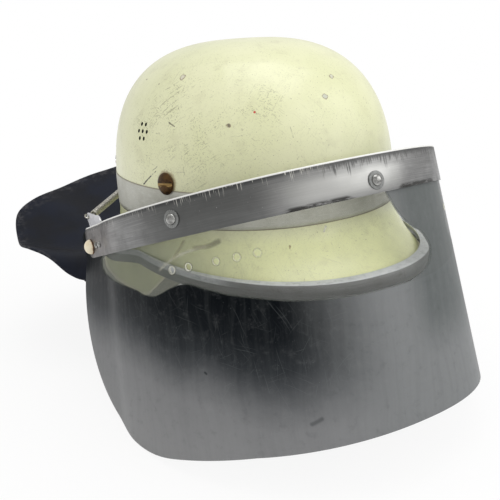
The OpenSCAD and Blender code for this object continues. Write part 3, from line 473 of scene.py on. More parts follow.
scratched = fine
for start, end, wide, tone, strong in (
        ((-104.8, -23.9, 27.2), (-102.4, -34.2, 34.3), 0.55, (30, 30, 26), 1),
        ((-102.4, -34.2, 34.3), (-100.8, -40.2, 38.3), 0.35, (44, 44, 36), 0.9),
        ((-101.7, -36.1, 38.4), (-100.1, -41.8, 41.8), 0.25, (70, 66, 52), 0.8),
        ((-65.3, -6.8, 111.5), (-61.3, -18, 113.1), 0.35, (150, 120, 95), 0.8),
        ((-41.1, -92.3, 91.4), (-44.2, -100.9, 77.9), 0.3, (190, 192, 165), 0.9),
        ((-31.4, -111.9, 67.3), (-31.2, -114.5, 60.4), 0.35, (120, 118, 92), 0.8),
        ((38.7, -101.3, 81.7), (37.8, -104.6, 77.2), 0.3, (150, 148, 120), 0.8),
        ((-87.9, -65.8, 57.4), (-72.5, -82.8, 68.3), 0.4, (120, 118, 95), 0.6),
        ((-97.2, -29.3, 65.3), (-95.2, -40.2, 64.3), 0.35, (110, 108, 88), 0.8),
        ((-90.1, -48.1, 72.3), (-88.9, -53.7, 69.8), 0.5, (100, 98, 80), 0.9),
        ((-90.1, -53.5, 66.5), (-86.1, -66.5, 61.3), 0.35, (120, 116, 92), 0.8),
        ((-82.4, -30.3, 93.4), (-80.2, -34, 95.1), 0.4, (105, 100, 82), 0.9),
        ((-71.7, -75.8, 79.5), (-65.5, -80.3, 82.8), 0.3, (185, 186, 158), 0.9)):
    mark = ramp(line_gap(shaky, start, end), wide * 0.6 * MM, wide * 1.5 * MM, strong, 0)
    skin = tint(mark, skin, tone)
    scratched = most(scratched, mark)
for point, wide, tone in (
        ((-72.4, -39.5, 101.5), 2.3, (212, 208, 188)),
        ((14.4, -97.8, 95.4), 1.8, (206, 206, 186)),
        ((0.8, -108.4, 83.5), 1.8, (198, 200, 184)),
        ((-65.5, -89.5, 70.4), 1.5, (120, 118, 100)),
        ((-81.8, -17.8, 97), 0.7, (110, 104, 86)),
        ((-80.1, 8.9, 99.8), 0.6, (130, 120, 98)),
        ((-42.5, -121.6, -12), 0.9, (182, 170, 120))):
    gap = apart(ragged, point)
    skin = tint(ramp(gap, wide * 0.95 * MM, wide * 1.4 * MM, 0.9, 0), skin, (124, 104, 76))
    chip = ramp(gap, wide * 0.7 * MM, wide * MM, 1, 0)
    skin = tint(chip, skin, tone)
    scratched = most(scratched, chip)
skin = tint(ramp(apart(at, (-49.7, -97.8, 77.9)), 0.7 * MM, 1.1 * MM, 1, 0), skin, (190, 62, 48))
for seat in screw_seats:
    skin = tint(ramp(apart(ragged, seat.translation / MM), 8.3 * MM, 10.5 * MM, 0.55, 0), skin, (150, 118, 72))
from_rim = stored(at, "from_rim")
flaked = ramp(noise(at, 130, 6, 0.7) * 2.6 - from_rim, 0.35, 0.55)
skin = coats(skin, (ramp(from_rim, 1.5, 6, 0.45, 0), (164, 160, 118)),
             (ramp(from_rim, 2.6, 3.6, 0.9, 0), (252, 247, 214)), (flaked, (168, 166, 150)))
plug(shader, Base_Color=skin, Roughness=scratched * 0.3 + 0.34)
peel = relief(noise(at, 260, 2), 0.05, 0.0006)
dents = relief(noise(at, 24, 1), 0.22, 0.002, peel)
plug(shader, Normal=relief(most(scratched, flaked), -0.35, 0.0002, dents))

inner_paint, shader, at = finish_of("inner_paint", Roughness=0.6)
dust = ramp(noise(at, 60, 7, 0.65), 0.35, 0.75)
plug(shader, Base_Color=tint(dust, (44, 47, 46), (66, 68, 64)), Normal=relief(noise(at, 500, 3), 0.2, 0.0003))

us = [-1 + i / 26 for i in range(26)] + [1 - (1 - i / 46) ** 1.35 for i in range(47)]
shell = piece("helmet_shell", spun_skin(us, 0), [lacquer, inner_paint], "shell")
wall(shell, 1.5, material_offset=1, use_even_offset=True)
soften(shell, 0.4)
settle(shell)
bits = bmesh.new()
vent_height, vent_ring = 65, 6
for t in (82, 278):
    for k in range(7):
        aside = Matrix.Translation((0 if k == 6 else vent_ring * MM, 0, 0))
        bit(bits, 1.5, 12, on_shell(t, vent_height) @ Matrix.Rotation(radians(60 * k + 30), 4, "Z") @ aside)
for seat in screw_seats:
    bit(bits, 3.3, 12, seat, 24)
for f in bits.faces:
    f.material_index = 1
drill(shell, bits)
rim_gap = shell.data.attributes.new("from_rim", "FLOAT", "POINT")
gaps = []
for v in shell.data.vertices:
    p = v.co / MM
    t = degrees(atan2(-p.x / crease_wide, -p.y / crease_long)) % 360
    gaps.append(min(20, max(0, p.z + edge_drop(t))))
rim_gap.data.foreach_set("value", gaps)

# Reflective stripe: a strip of grey glass-bead tape pressed round the dome just above the crease.
# Its ends overlap at the back.
tape, shader, at = finish_of("bead_tape", Roughness=0.42, Metallic=0.15)
beads = noise(at, 2600, 1, 0.5)
scuffs = ramp(noise(at, 1, 3, 0.6, (120, 120, 900)), 0.52, 0.72, 0, 0.5)
smudge = ramp(noise(at, 45, 6, 0.65), 0.4, 0.7, 0, 0.45)
grey = coats(tint(ramp(beads, 0.3, 0.7), (180, 180, 170), (198, 198, 188)), (smudge, (160, 158, 144)),
             (scuffs, (205, 206, 200)))
edge_z = part_of(at, "Z")
dirty_edge = most(ramp(edge_z, 24.9 * MM, 25.6 * MM, 0, 0.7), ramp(edge_z, 0.3 * MM, 1.2 * MM, 0.7, 0))
plug(shader, Base_Color=tint(dirty_edge, grey, (122, 112, 92)), Normal=relief(beads, 0.25, 0.0001))
stripe = piece("bead_stripe", spun_skin([shell_u(0, 26 * i / 8) for i in range(9)], 0.35), tape,
               "reflective_stripe")
wall(stripe, 0.3)

# Liner rings: two aluminium hoops one inside the other, with bent leaf springs between them that
# take up a blow. The outer hoop is screwed to the shell over rubber spacers.


def metal(name, light, dark, rough, along, metallic=1, stain=None, amount=0):
    """Brushed or drawn metal with streaks, dull patches and fine pits"""
    m, shader, at = finish_of(name, Metallic=metallic)
    streak = noise(at, 1, 4, 0.6, along)
    colour = tint(ramp(streak, 0.32, 0.68), dark, light)
    patch = ramp(noise(at, 85, 6, 0.65), 0.45, 0.7)
    colour = tint(patch * 0.35, colour, dark)
    if stain:
        spots = ramp(noise(at, 190, 7, 0.7), 0.62 - amount, 0.7)
        colour = tint(spots, colour, stain)
    plug(shader, Base_Color=colour, Roughness=ramp(patch, 0, 1, rough, min(0.9, rough + 0.15)),
         Normal=relief(streak, 0.12, 0.0003))
    return m


def dress(material, *names):
    for name in names:
        helmet_parts[name].data.materials.clear()
        helmet_parts[name].data.materials.append(material)


dress(metal("hoop_sheet", (178, 180, 182), (140, 142, 145), 0.38, (30, 30, 700)), "outer_ring", "inner_ring")
dress(metal("leaf_steel", (165, 166, 166), (118, 118, 118), 0.35, (600, 600, 60), stain=(120, 92, 66),
            amount=0.02), "ring_springs", "strap_hangers")
dress(metal("brass_parts", (206, 176, 112), (150, 122, 70), 0.34, (300, 300, 300), stain=(92, 70, 42),
            amount=0.03), "liner_nuts", "strap_rivets", "strap_buckle")
spacer_rubber, shader, at = finish_of("spacer_rubber", Roughness=0.75)
plug(shader, Base_Color=tint(ramp(noise(at, 240, 6, 0.6), 0.4, 0.7), (34, 34, 34), (58, 57, 54)),
     Normal=relief(noise(at, 700, 3), 0.3, 0.0003))
dress(spacer_rubber, "liner_spacers")

# Sweatband: a strip of tan leather, folded over along its top edge and sewn into a loop that the
# inner hoop carries. Its lower part curls in a little where foreheads have pressed it.


def leather(name, light, dark, rough, grain, edge_highlight=None, shine=0.4):
    """Smooth leather with pores, creases, darker grease and, if asked, a painted highlight along an edge"""
    m, shader, at = finish_of(name, Specular_IOR_Level=shine)
    cloud = noise(at, 26, 6, 0.6)
    colour = tint(ramp(cloud, 0.34, 0.68), dark, light)
    pores = at.into("TexVoronoi", {"Scale": grain}, "Distance", feature="DISTANCE_TO_EDGE")
    cells = ramp(pores, 0, 0.2)
    colour = tint((1 - cells) * 0.3, colour, dark)
    creases = ramp(noise(at, 1, 5, 0.6, (300, 60, 160), (0.3, 0.2, 0.8)), 0.55, 0.68)
    # a pale painted highlight along the marked edge, broken up by noise
    if edge_highlight:
        edge_highlight_mask = stored(at, "edge_highlight_mask")
        edge_highlight_mask = edge_highlight_mask * ramp(noise(at, 160, 6, 0.7), 0.45, 0.7)
        colour = tint(edge_highlight_mask, colour, edge_highlight)
    plug(shader, Base_Color=colour, Roughness=ramp(cloud, 0.3, 0.7, rough, rough + 0.14))
    tops = relief(cells, 0.25, 0.0002)
    plug(shader, Normal=relief(creases, -0.12, 0.0004, tops))
    return m


def hoop(profile, long, wide):
    """Spins a closed outline of (outward, height) in mm round the head's oval"""
    bm = bmesh.new()
    spin(bm, [(0, -100 - off, z) for off, z in profile], 160, closed=True)
    for v in bm.verts:
        t, off = degrees(atan2(-v.co.x, -v.co.y)) % 360, v.co.xy.length - 100
        ripple = 0.25 * sin(radians(11 * t)) + 0.15 * sin(radians(17 * t + 40))
        p = oval(wide + off + ripple, long + off + ripple, t)
        v.co = Vector((p.x, p.y, v.co.z + 0.3 * sin(radians(5 * t)))) * MM
    face_out(bm)
    return bm


tan_leather = leather("tan_leather", (132, 98, 68), (98, 70, 46), 0.5, 900)
band_outline = [(0.4, -9.9), (1.6, -9.9), (2, -9.2), (2, 6), (1.9, 16), (2, 24.6), (1.7, 25.6), (1.2, 25.9),
                (0.5, 25.9), (0, 25.4), (-0.3, 24), (-0.5, 20), (-0.3, 16.5), (0.05, 15.8), (0.05, 6), (0, -2),
                (-0.3, -7), (0, -9.2)]
sweatband = piece("leather_sweatband", hoop(band_outline, 100.7, 81.7), tan_leather, "sweatband")
finish_mesh(sweatband, "finer", "SUBSURF", levels=1, render_levels=1)

thread, shader, at = finish_of("waxed_thread", Roughness=0.6)
plug(shader, Base_Color=tint(ramp(noise(at, 900, 3), 0.35, 0.65), (196, 182, 150), (222, 210, 182)),
     Normal=relief(noise(at, 2400, 2), 0.4, 0.0001))

# a row of short rounded stitches lies on the leather, below the fold
stitch_long, stitch_wide, stitch_high = 2, 0.55, 0.44
bm = bmesh.new()
row = [oval(81.1, 100.1, 360 * i / 180) + Vector((0, 0, 17.6)) for i in range(181)]
for a, b in zip(row, row[1:]):
    run, out = (b - a).normalized(), -a.xy.to_3d().normalized()
    lie = Matrix((run, out.cross(run).normalized(), out)).transposed().to_4x4()
    lie.translation = (a + b) / 2 * MM
    made = bmesh.ops.create_icosphere(bm, subdivisions=1, radius=0.5 * MM)["verts"]
    bmesh.ops.scale(bm, verts=made, vec=(stitch_long, stitch_wide, stitch_high))
    bmesh.ops.transform(bm, matrix=lie, verts=made)
piece("sweatband_stitches", bm, thread)

# Crown: eight tongues of tan leather rise from the sweatband and meet over the head. A tarred cord
# laced through their punched tips draws them together and sets the fit.


def cradle(t, rise, off):
    """A place on the crown's inner dome, rise degrees up from the sweatband"""
    p = oval(82.5 + off, 101.5 + off, t) * cos(radians(rise))
    p.z = 26.3 + (64 + off) * sin(radians(rise))
    return p


bm = bmesh.new()
for k in range(8):
    made = bmesh.ops.create_grid(bm, x_segments=14, y_segments=26, size=1)["verts"]
    for v in made:
        f = (v.co.y + 1) / 2
        half = 45 * (0.43 - 0.11 * sin(pi * f))
        corner = max(0, f - 0.93) / 0.07
        half *= 1 - 0.35 * corner * corner
        curl = 0.5 * sin(radians(4 * 360 * f + 50 * k)) * (1 - f)
        v.co = cradle(45 * k + half * v.co.x, 73 * f, 0.9 + curl - 0.6 * v.co.x ** 2 * f) * MM
flat_area = sum(face.calc_area() for face in bm.faces)
tongues = piece("crown_leather", bm, tan_leather, "crown_tongues")
for polygon in tongues.data.polygons:
    if polygon.normal.dot(polygon.center - Vector((0, 0, 0.026))) < 0:
        polygon.flip()
wall(tongues, 1.8)
bits = bmesh.new()
punched_rise = 70.4
for k in range(16):
    bit(bits, 2.2, 12, Matrix.Translation(cradle((k + 0.5) * 22.5, punched_rise, 0) * MM))
drill(tongues, bits)
soften(tongues, 0.35)

tarred_cord, shader, at = finish_of("tarred_cord", Roughness=0.7)
twist = at.into("TexWave", {"Scale": 380, "Distortion": 1.5, "Detail": 2}, "Fac", wave_type="BANDS",
                bands_direction="DIAGONAL")
plug(shader, Base_Color=tint(twist, (38, 32, 26), (78, 66, 52)), Normal=relief(twist, 0.5, 0.0003))


def wire_piece(name, points, radius, material, stands_for, closed=False, sides=1):
    """A round wire or cord that follows points in mm"""
    line = bpy.data.curves.new(name, "CURVE")
    line.dimensions, line.use_fill_caps = "3D", True
    line.bevel_depth, line.bevel_resolution = radius * MM, sides
    run = line.splines.new("POLY")
    run.points.add(len(points) - 1)
    for spot, p in zip(run.points, points):
        spot.co = (*(p * MM), 1)
    run.use_cyclic_u = closed
    drawn = bpy.data.objects.new(name + "_line", line)
    scene.collection.objects.link(drawn)
    bm = bmesh.new()
    bm.from_mesh(mesh_of(drawn))
    bpy.data.objects.remove(drawn)
    face_out(bm, 1e-7)
    piece(name, bm, material, stands_for)


lace_swing = 3.2
laced = []
for i in range(320):
    t = 360 * i / 320
    laced.append(cradle(t, punched_rise, 0) + Vector((0, 0, lace_swing * cos(radians(8 * t)))))
wire_piece("crown_cord", laced, 1, tarred_cord, "crown_lace", closed=True, sides=3)

# Chin strap: two straps of dark leather riveted to steel hangers, joined by a brass buckle and
# folded away round the back inside the skirt.


def sweep(bm, ring_at, count):
    """Draws a closed outline out along its path; ring_at(i) gives the outline's points, in mm, at step i"""
    ring = [bm.verts.new(p * MM) for p in ring_at(0)]
    n = len(ring)
    start = edges = [bm.edges.new((ring[k], ring[(k + 1) % n])) for k in range(n)]
    for i in range(1, count):
        grown = set(bmesh.ops.extrude_edge_only(bm, edges=edges)["geom"])
        ring = [next(e.other_vert(v) for e in v.link_edges if e.other_vert(v) in grown) for v in ring]
        for v, p in zip(ring, ring_at(i)):
            v.co = p * MM
        edges = [bm.edges.get((ring[k], ring[(k + 1) % n])) for k in range(n)]
    for end in (start, edges):
        bmesh.ops.holes_fill(bm, edges=end, sides=n)
    face_out(bm)


def section(p, way, spots):
    """An outline of (inward, height) points where the path is at p"""
    return [p + way * off + Vector((0, 0, z)) for off, z in spots]


strap_leather = leather("strap_leather", (52, 44, 40), (30, 26, 24), 0.46, 1100)
strap_out, strap_low, strap_high = 2.2, -34, -18
hang_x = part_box("strap_hangers")[1].x / MM
strap_wide, strap_deep = hang_x + 0.8 + strap_out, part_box("outer_ring")[1].y / MM - 3


def strap_ring(t1, t2, count):
    def ring_at(i):
        f = i / (count - 1)
        t = t1 + (t2 - t1) * f
        outer, inner = oval(strap_wide, strap_deep, t), oval(strap_wide - strap_out, strap_deep - strap_out, t)
        lift = 0.25 * sin(radians(900 * f))
        z0, z1, r = strap_low + lift, strap_high + lift, 0.7
        return section(outer, inner - outer,
                       ((0, z0 + r), (0, z1 - r), (0.3, z1), (0.7, z1), (1, z1 - r), (1, z0 + r), (0.7, z0),
                        (0.3, z0)))
    return ring_at


for name, node_name, t1, t2 in (
        ("strap_long", "chin_strap_long", 91, 214.9), ("strap_short", "chin_strap_short", 229.1, 269)):
    bm = bmesh.new()
    count = int(abs(t2 - t1) / 1.5)
    sweep(bm, strap_ring(t1, t2, count), count)
    piece(name, bm, strap_leather, node_name)

# Liner screws: turned brass screws with slotted domed heads, gone dark with age and rusty at the
# edge. The nuts behind them clamp the outer hoop.
aged_brass, shader, at = finish_of("aged_brass", Metallic=0.75, Roughness=0.42)
patina = noise(at, 320, 7, 0.7)
brown = tint(ramp(patina, 0.35, 0.62), (52, 34, 16), (92, 66, 34))
# dark specks; the slot's upper wall is a painted shade and its lower wall a painted brass highlight
brown = coats(brown, (ramp(noise(at, 700, 4, 0.6), 0.56, 0.7, 0, 0.85), (26, 17, 9)),
              (stored(at, "slot_shade"), (16, 10, 6)), (stored(at, "slot_highlight"), (172, 142, 88)))
plug(shader, Base_Color=brown, Roughness=ramp(patina, 0.3, 0.7, 0.3, 0.6), Normal=relief(patina, 0.25, 0.0003))


def turned(bm, line, place, steps=40):
    """Turns a half outline of (radius, height) in mm round its upright axis and sets it in place"""
    old = set(bm.verts)
    spin(bm, [(r * MM, 0, z * MM) for r, z in line], steps)
    fresh = [v for v in bm.verts if v not in old]
    bmesh.ops.remove_doubles(bm, verts=fresh, dist=1e-6)
    fresh = [v for v in bm.verts if v not in old]
    bmesh.ops.transform(bm, matrix=place, verts=fresh)
    bmesh.ops.recalc_face_normals(bm, faces=list({f for v in fresh for f in v.link_faces}))


bm = bmesh.new()
bits = bmesh.new()
for seat in screw_seats:
    place = seat @ Matrix.Rotation(radians(4), 4, "Z")
    turned(bm,
           [(0, 3), (2.5, 2.95), (5, 2.6), (6.9, 1.95), (7.75, 1.3), (8, 0.8), (7.9, 0.4), (3, 0.35),
            (3, -16.2), (0, -16.4)], place)
    slot_box = bmesh.ops.create_cube(bits, size=1)["verts"]
    bmesh.ops.scale(bits, verts=slot_box, vec=(1.9 * MM, 20 * MM, 3 * MM))
    bmesh.ops.transform(bits, matrix=place @ Matrix.Translation((0, 0, 3 * MM)), verts=slot_box)
screws = piece("slotted_screws", bm, aged_brass, "liner_screws")
drill(screws, bits)
# marks each slot's upper half for its painted shade and its lower half for its painted highlight
in_slot = []
for v in screws.data.vertices:
    local = min((seat.inverted() @ v.co for seat in screw_seats), key=lambda q: q.length) / MM
    cut_here = 1.3 < local.z < 2.95 and abs(local.x) < 1.6 and abs(local.y) < 7.6
    in_slot.append((1 if cut_here and local.x < 0 else 0, 1 if cut_here and local.x > 0 else 0))
for key, side in (("slot_shade", 0), ("slot_highlight", 1)):
    screws.data.attributes.new(key, "FLOAT", "POINT").data.foreach_set(
        "value", [mark[side] for mark in in_slot])

# Neck guard: a cut sheet of soft dark leather with a collar that is studded inside the skirt. It
# turns out under the rim, spreads behind the helmet and hangs in shallow folds.
hem = [(-0.7, 78, -72), (-0.78, 93, -76), (-0.875, 107, -69), (-0.95, 122, -56), (-1.01, 147, -49),
       (-1.022, 182, -51), (-0.955, 219, -35), (-0.8, 233, -21), (-0.56, 250, -19), (-0.28, 258, -12),
       (0, 262, -4)]
hem = [Vector((share * 160, y, z)) for share, y, z in hem]


def far_half(points):
    """The same points on the wearer's left, in turn"""
    return [Vector((-p.x, p.y, p.z)) for p in reversed(points)]


hem += far_half(hem[:-1])


def hem_point(f):
    """A place on a smooth line through the hem's points, f of the way along"""
    x = f * (len(hem) - 1)
    i = min(int(x), len(hem) - 2)
    s = x - i
    a, b, c, d = hem[max(i - 1, 0)], hem[i], hem[i + 1], hem[min(i + 2, len(hem) - 1)]
    return b + (c - a) * s / 2 + (a * 2 - b * 5 + c * 4 - d) * s ** 2 / 2 + (b * 3 - a - c * 3 + d) * s ** 3 / 2


def guard_column(f):
    """Middle of the leather from the collar's top, under the rim and out to the hem"""
    t = 109 + 142 * f
    rim, dirn = shell_point(t, -1), oval(1, 1, t)
    under = rim - Vector((0, 0, 1.2 + 1.5 + 0.9 + 1.6)) - dirn * 2.6
    end = hem_point(f)
    out = end - under
    low, high = shell_u(t, -14), shell_u(t, -30)
    column = [shell_point(t, low) - shell_out(t, low) * 3.6]
    for k in range(4):
        u = high + (-0.97 - high) * k / 3
        column.append(shell_point(t, u) - shell_out(t, u) * 3.6)
    column.append(under)
    for w in (0.14, 0.26, 0.38, 0.5, 0.62, 0.75, 0.88, 1):
        sag = 7 * sin(pi * w ** 0.8)
        fold = 2 * w * cos(2 * pi * 7 * f)
        soft = 1.3 * w * (1 - w) * sin(2 * pi * (2.3 * f + 0.4 * w))
        column.append(under + out * w + Vector((0, 0, fold - sag + soft)))
    return column


navy_leather = leather("navy_leather", (24, 29, 43), (9, 12, 21), 0.5, 1300, edge_highlight=(74, 73, 76), shine=0.16)
bm = bmesh.new()
edge_highlight_layer = bm.verts.layers.float.new("edge_highlight_mask")
cols, rows = 110, 14
grid = bmesh.ops.create_grid(bm, x_segments=cols, y_segments=rows - 1, size=1)["verts"]
columns = {}
for v in grid:
    i, j = round((v.co.x + 1) / 2 * cols), round((v.co.y + 1) / 2 * (rows - 1))
    if i not in columns:
        columns[i] = guard_column(i / cols)
    v.co = columns[i][j] * MM
    # the hem row is marked for the painted highlight
    v[edge_highlight_layer] = 1 if j == rows - 1 else 0
face_out(bm)
if sum(f.normal.z for f in bm.faces) < 0:
    bmesh.ops.reverse_faces(bm, faces=bm.faces)
flat_area = sum(f.calc_area() for f in bm.faces)
guard = piece("leather_neck_guard", bm, navy_leather, "neck_guard")
finish_mesh(guard, "finer", "SUBSURF", levels=2, render_levels=2)
wall(guard, 2.4, 0)
soften(guard, 0.6)
dress(metal("stud_nickel", (196, 194, 186), (150, 148, 140), 0.28, (500, 500, 500), stain=(110, 96, 78),
            amount=0.01), "guard_studs", "guard_stud_caps")

# Rail: aluminium strip bent to a U section. It grips the brim's edge with a broad ledge on top and
# a lip below in front, and its plain arms run back to the pivots.


def round_front(wide, front, end_x, y0, y1, back_y, n, arm, steps):
    """A U in plan: an oval front and arms that draw in to the pivots, from the wearer's right to left"""
    def side(y):
        return end_x + (wide - end_x) * (1 + cos(pi * min(1, max(0, (y - y0) / (y1 - y0))))) / 2
    ys = [back_y + (y0 - back_y) * i / arm for i in range(arm)]
    right = [Vector((-side(y), y, 0)) for y in ys]
    nose = []
    for i in range(steps + 1):
        a = pi * i / steps
        nose.append(Vector((-wide * spow(cos(a), 2 / n), y0 - (front + y0) * max(0, sin(a)) ** (2 / n), 0)))
    return right + nose + far_half(right)


def inward(path):
    """Unit directions into the U at each point of its plan"""
    ways = []
    for i, p in enumerate(path):
        run = (path[min(i + 1, len(path) - 1)] - path[max(i - 1, 0)]).normalized()
        ways.append(Vector((-run.y, run.x, 0)))
    return ways


rail_top, rail_low = -28.2, -39.2
# scratched; painted shade darkens it towards the wearer's right, and its top ledge has a painted highlight
brushed_rail, shader, at = finish_of("brushed_rail", Roughness=0.4)
streak = noise(at, 1, 4, 0.6, (14, 14, 520))
# painted shade and light: darker towards the wearer's right, paler towards the front and left
colour = tint(ramp(part_of(at, "X"), -0.01, 0.08), (124, 125, 123), (190, 193, 192))
colour = coats(colour, (ramp(streak, 0.36, 0.64, 0, 0.35), (148, 149, 148)),
               (ramp(noise(at, 90, 6, 0.7), 0.5, 0.75, 0, 0.5), (104, 103, 98)))
height = part_of(at, "Z")
# the top faces, and the upper edge of the arms, take the painted highlight
ledge = ramp(height, (rail_top - 0.3) * MM, (rail_top - 0.05) * MM)
arm = ramp(part_of(at, "Y"), -0.125, -0.095) * ramp(height, (rail_top - 4.4) * MM, (rail_top - 3.9) * MM)
ledge = most(ledge, arm * 0.85)
ledge_highlight = tint(ramp(noise(at, 240, 5, 0.7), 0.45, 0.75), (206, 209, 210), (172, 176, 177))
plug(shader, Base_Color=tint(ledge, colour, ledge_highlight), Metallic=ramp(ledge, 0, 1, 0.25, 0.1),
     Normal=relief(streak, 0.12, 0.0003))
arm_steps, nose_steps = 24, 150
rail_path = round_front(wide=109.1, front=170.5, end_x=123.7, y0=-8.5, y1=22, back_y=66, n=2.2, arm=arm_steps,
                        steps=nose_steps)
rail_in = inward(rail_path)


def rail_ring(i):
    p, way = rail_path[i], rail_in[i]
    nose = 0 <= i - arm_steps <= nose_steps
    a = pi * (i - arm_steps) / nose_steps if nose else 0
    ledge = 1.6 + 7.4 * sin(a) ** 1.3 if nose else 1.25
    lip = 1.25 + 3.75 * ease(-p.y, 84, 92)
    top, low, thick, r = rail_top, rail_low, 1.2, 0.55
    return section(p, way,
                   ((ledge, top), (r, top), (0.15, top - 0.15), (0, top - r), (0, low + r), (0.15, low + 0.15),
                    (r, low), (lip, low), (lip, low + thick), (thick, low + thick), (thick, top - thick),
                    (ledge, top - thick)))


bm = bmesh.new()
sweep(bm, rail_ring, len(rail_path))
rail = piece("bent_rail", bm, brushed_rail, "brim_rail", sharp=55)
soften(rail, 0.2, 1)

# End plates: flat tabs riveted inside the rail's arms. They carry the pivot screws and the holes
# that the spring hooks into.
dress(metal("pale_tab", (226, 226, 230), (190, 190, 194), 0.36, (420, 30, 30), metallic=0.7), "rail_end_plates",
      "end_plate_rivets")

# Retaining spring: close-wound bright steel wire that pulls the rail's ends together round the
# back of the shell. Its end rings are hooked through the end plates.
bright_wire = metal("bright_wire", (212, 210, 202), (150, 147, 138), 0.3, (900, 900, 900), metallic=0.75,
                    stain=(120, 108, 90))
coil_r, wire_r = 2.68, 0.62
hook = Vector((-121.75, 71, -14))
round_back = [oval(110.8, 129.8, t) + Vector((0, 0, 5)) for t in range(150, 211)]
run = (round_back[0] - hook).normalized()
axis_line = [hook + run * 6.6] + round_back
axis_line += far_half(axis_line[:1])
lengths = [0]
for a, b in zip(axis_line, axis_line[1:]):
    lengths.append(lengths[-1] + (b - a).length)


def along_axis(s):
    i = next((k for k, cut in enumerate(lengths) if cut > s), len(lengths) - 1) - 1
    i = max(0, min(len(lengths) - 2, i))
    return axis_line[i].lerp(axis_line[i + 1], (s - lengths[i]) / (lengths[i + 1] - lengths[i]))


turns, per_turn = 178, 13
coil = []
for i in range(turns * per_turn + 1):
    s = lengths[-1] * i / (turns * per_turn)
    ahead = (along_axis(min(s + 3, lengths[-1])) - along_axis(max(s - 3, 0))).normalized()
    side = Vector((0, 0, 1)).cross(ahead).normalized()
    a = 2 * pi * i / per_turn
    coil.append(along_axis(s) + (side * cos(a) + ahead.cross(side) * sin(a)) * coil_r)
lean = Vector((0, run.y, run.z)).normalized()
ring = []
for i in range(25):
    a = radians(165 - 255 * i / 24)
    ring.append(hook + lean * coil_r + (Vector((-1, 0, 0)) * sin(a) - lean * cos(a)) * coil_r)
bend = [ring[-1].lerp(coil[0], f) + run.cross(lean) * sin(pi * f) * 0.4 for f in (0.33, 0.66)]
wire_piece("wound_spring", ring + bend + coil + far_half(ring + bend), wire_r, bright_wire, "retaining_spring")

# Pivots: steel screws from inside, spacing washers, and domed caps outside the band that were
# painted cream and have rusted at the edge.
dress(metal("screw_steel", (186, 182, 172), (140, 136, 128), 0.36, (300, 300, 300), stain=(116, 84, 54),
            amount=0.02), "pivot_screws", "pivot_washers")
cream_cap, shader, at = finish_of("cream_cap", Coat_Weight=0.3)
from_middle = abs(part_of(at, "X"))
rusty = from_middle + noise(at, 500, 5, 0.7) * 0.0022
rusty = ramp(rusty, 130.7 * MM, 131.5 * MM, 1, 0)
cream = tint(ramp(noise(at, 260, 5), 0.4, 0.7), (246, 234, 206), (232, 214, 180))
rust = tint(ramp(noise(at, 900, 5, 0.7), 0.4, 0.6), (74, 46, 24), (158, 110, 66))
plug(shader, Base_Color=tint(rusty, cream, rust), Roughness=ramp(rusty, 0, 1, 0.28, 0.7),
     Normal=relief(noise(at, 600, 5, 0.7), 0.25, 0.0002))
pivot = Vector((0, 51, -34))


def beside(side, x, y):
    """A place level with the pivot, x mm out to one side, its axis pointing outwards"""
    return seat_at(Vector((side * x, y, pivot.z)), Vector((side, 0, 0)))


bm = bmesh.new()
for side in (-1, 1):
    turned(bm,
           [(0, 6), (1.4, 5.9), (2.8, 5.5), (4.1, 4.75), (5.2, 3.65), (5.95, 2.4), (6.4, 1.15), (6.5, 0.5),
            (6.4, 0.1), (6.1, 0.02), (0, 0.02)], beside(side, 129.1, pivot.y), 48)
piece("domed_caps", bm, cream_cap, "pivot_caps")

# Visor band: an aluminium strip bent to the visor's curve, with its top edge turned in to a
# stiffening flange. The fold has left short upright crimp marks, and dirt sits along the lower edge.
tilt = Matrix.Rotation(radians(-17.8), 4, "X")
tilted = Matrix.Translation(pivot * MM) @ tilt @ Matrix.Translation(-pivot * MM)
visor_plan = {"wide": 132, "front": 171.7, "end_x": 129, "y0": -12, "y1": 20, "n": 2.2}
band_path = round_front(**visor_plan, back_y=63, arm=28, steps=170)
band_in = inward(band_path)
band_top, band_low = pivot.z + 16.5, pivot.z - 9.5


def band_ring(i):
    p, way = band_path[i], band_in[i]
    short = max(0, p.y - 55)
    cut = 8 - sqrt(max(0, 64 - short * short)) if short else 0
    top, low = band_top - min(cut, 8), band_low + min(cut, 8)
    fold = 1.05 + 5.95 * ease(14 - p.y, 0, 3)
    mid = (top + low) / 2
    return section(p, way,
                   ((fold, top), (1.2, top), (0.35, top - 0.12), (0, top - 0.7), (0, mid), (0, low + 0.25),
                    (0.2, low), (0.8, low), (1, low + 0.25), (1, mid), (1, top - 1), (fold, top - 1)))


def wear_marks(ob, path):
    """Stores on each point how far it lies along the visor from the front and how high, in metres"""
    mesh, untilt = ob.data, tilted.inverted()
    nearest = KDTree(len(path))
    reach = [0]
    for i, p in enumerate(path):
        nearest.insert((p.x, p.y, 0), i)
        reach.append(reach[-1] + (path[min(i + 1, len(path) - 1)] - p).length)
    nearest.balance()
    along, up = (mesh.attributes.new(key, "FLOAT", "POINT") for key in ("along", "up"))
    flat = [untilt @ v.co / MM for v in mesh.vertices]
    found = [reach[nearest.find((p.x, p.y, 0))[1]] for p in flat]
    along.data.foreach_set("value", [(way - reach[-2] / 2) * MM for way in found])
    up.data.foreach_set("value", [(p.z - pivot.z) * MM for p in flat])


band_metal, shader, at = finish_of("satin_band")
along = stored(at, "along")
up = stored(at, "up")
flat = along.into("CombineXYZ", {1: up})
long_brush = noise(flat, 1, 4, 0.65, (24, 1400, 1))
cloud = noise(flat, 55, 6, 0.65)
grey = tint(ramp(long_brush, 0.3, 0.7), (116, 116, 116), (142, 142, 141))
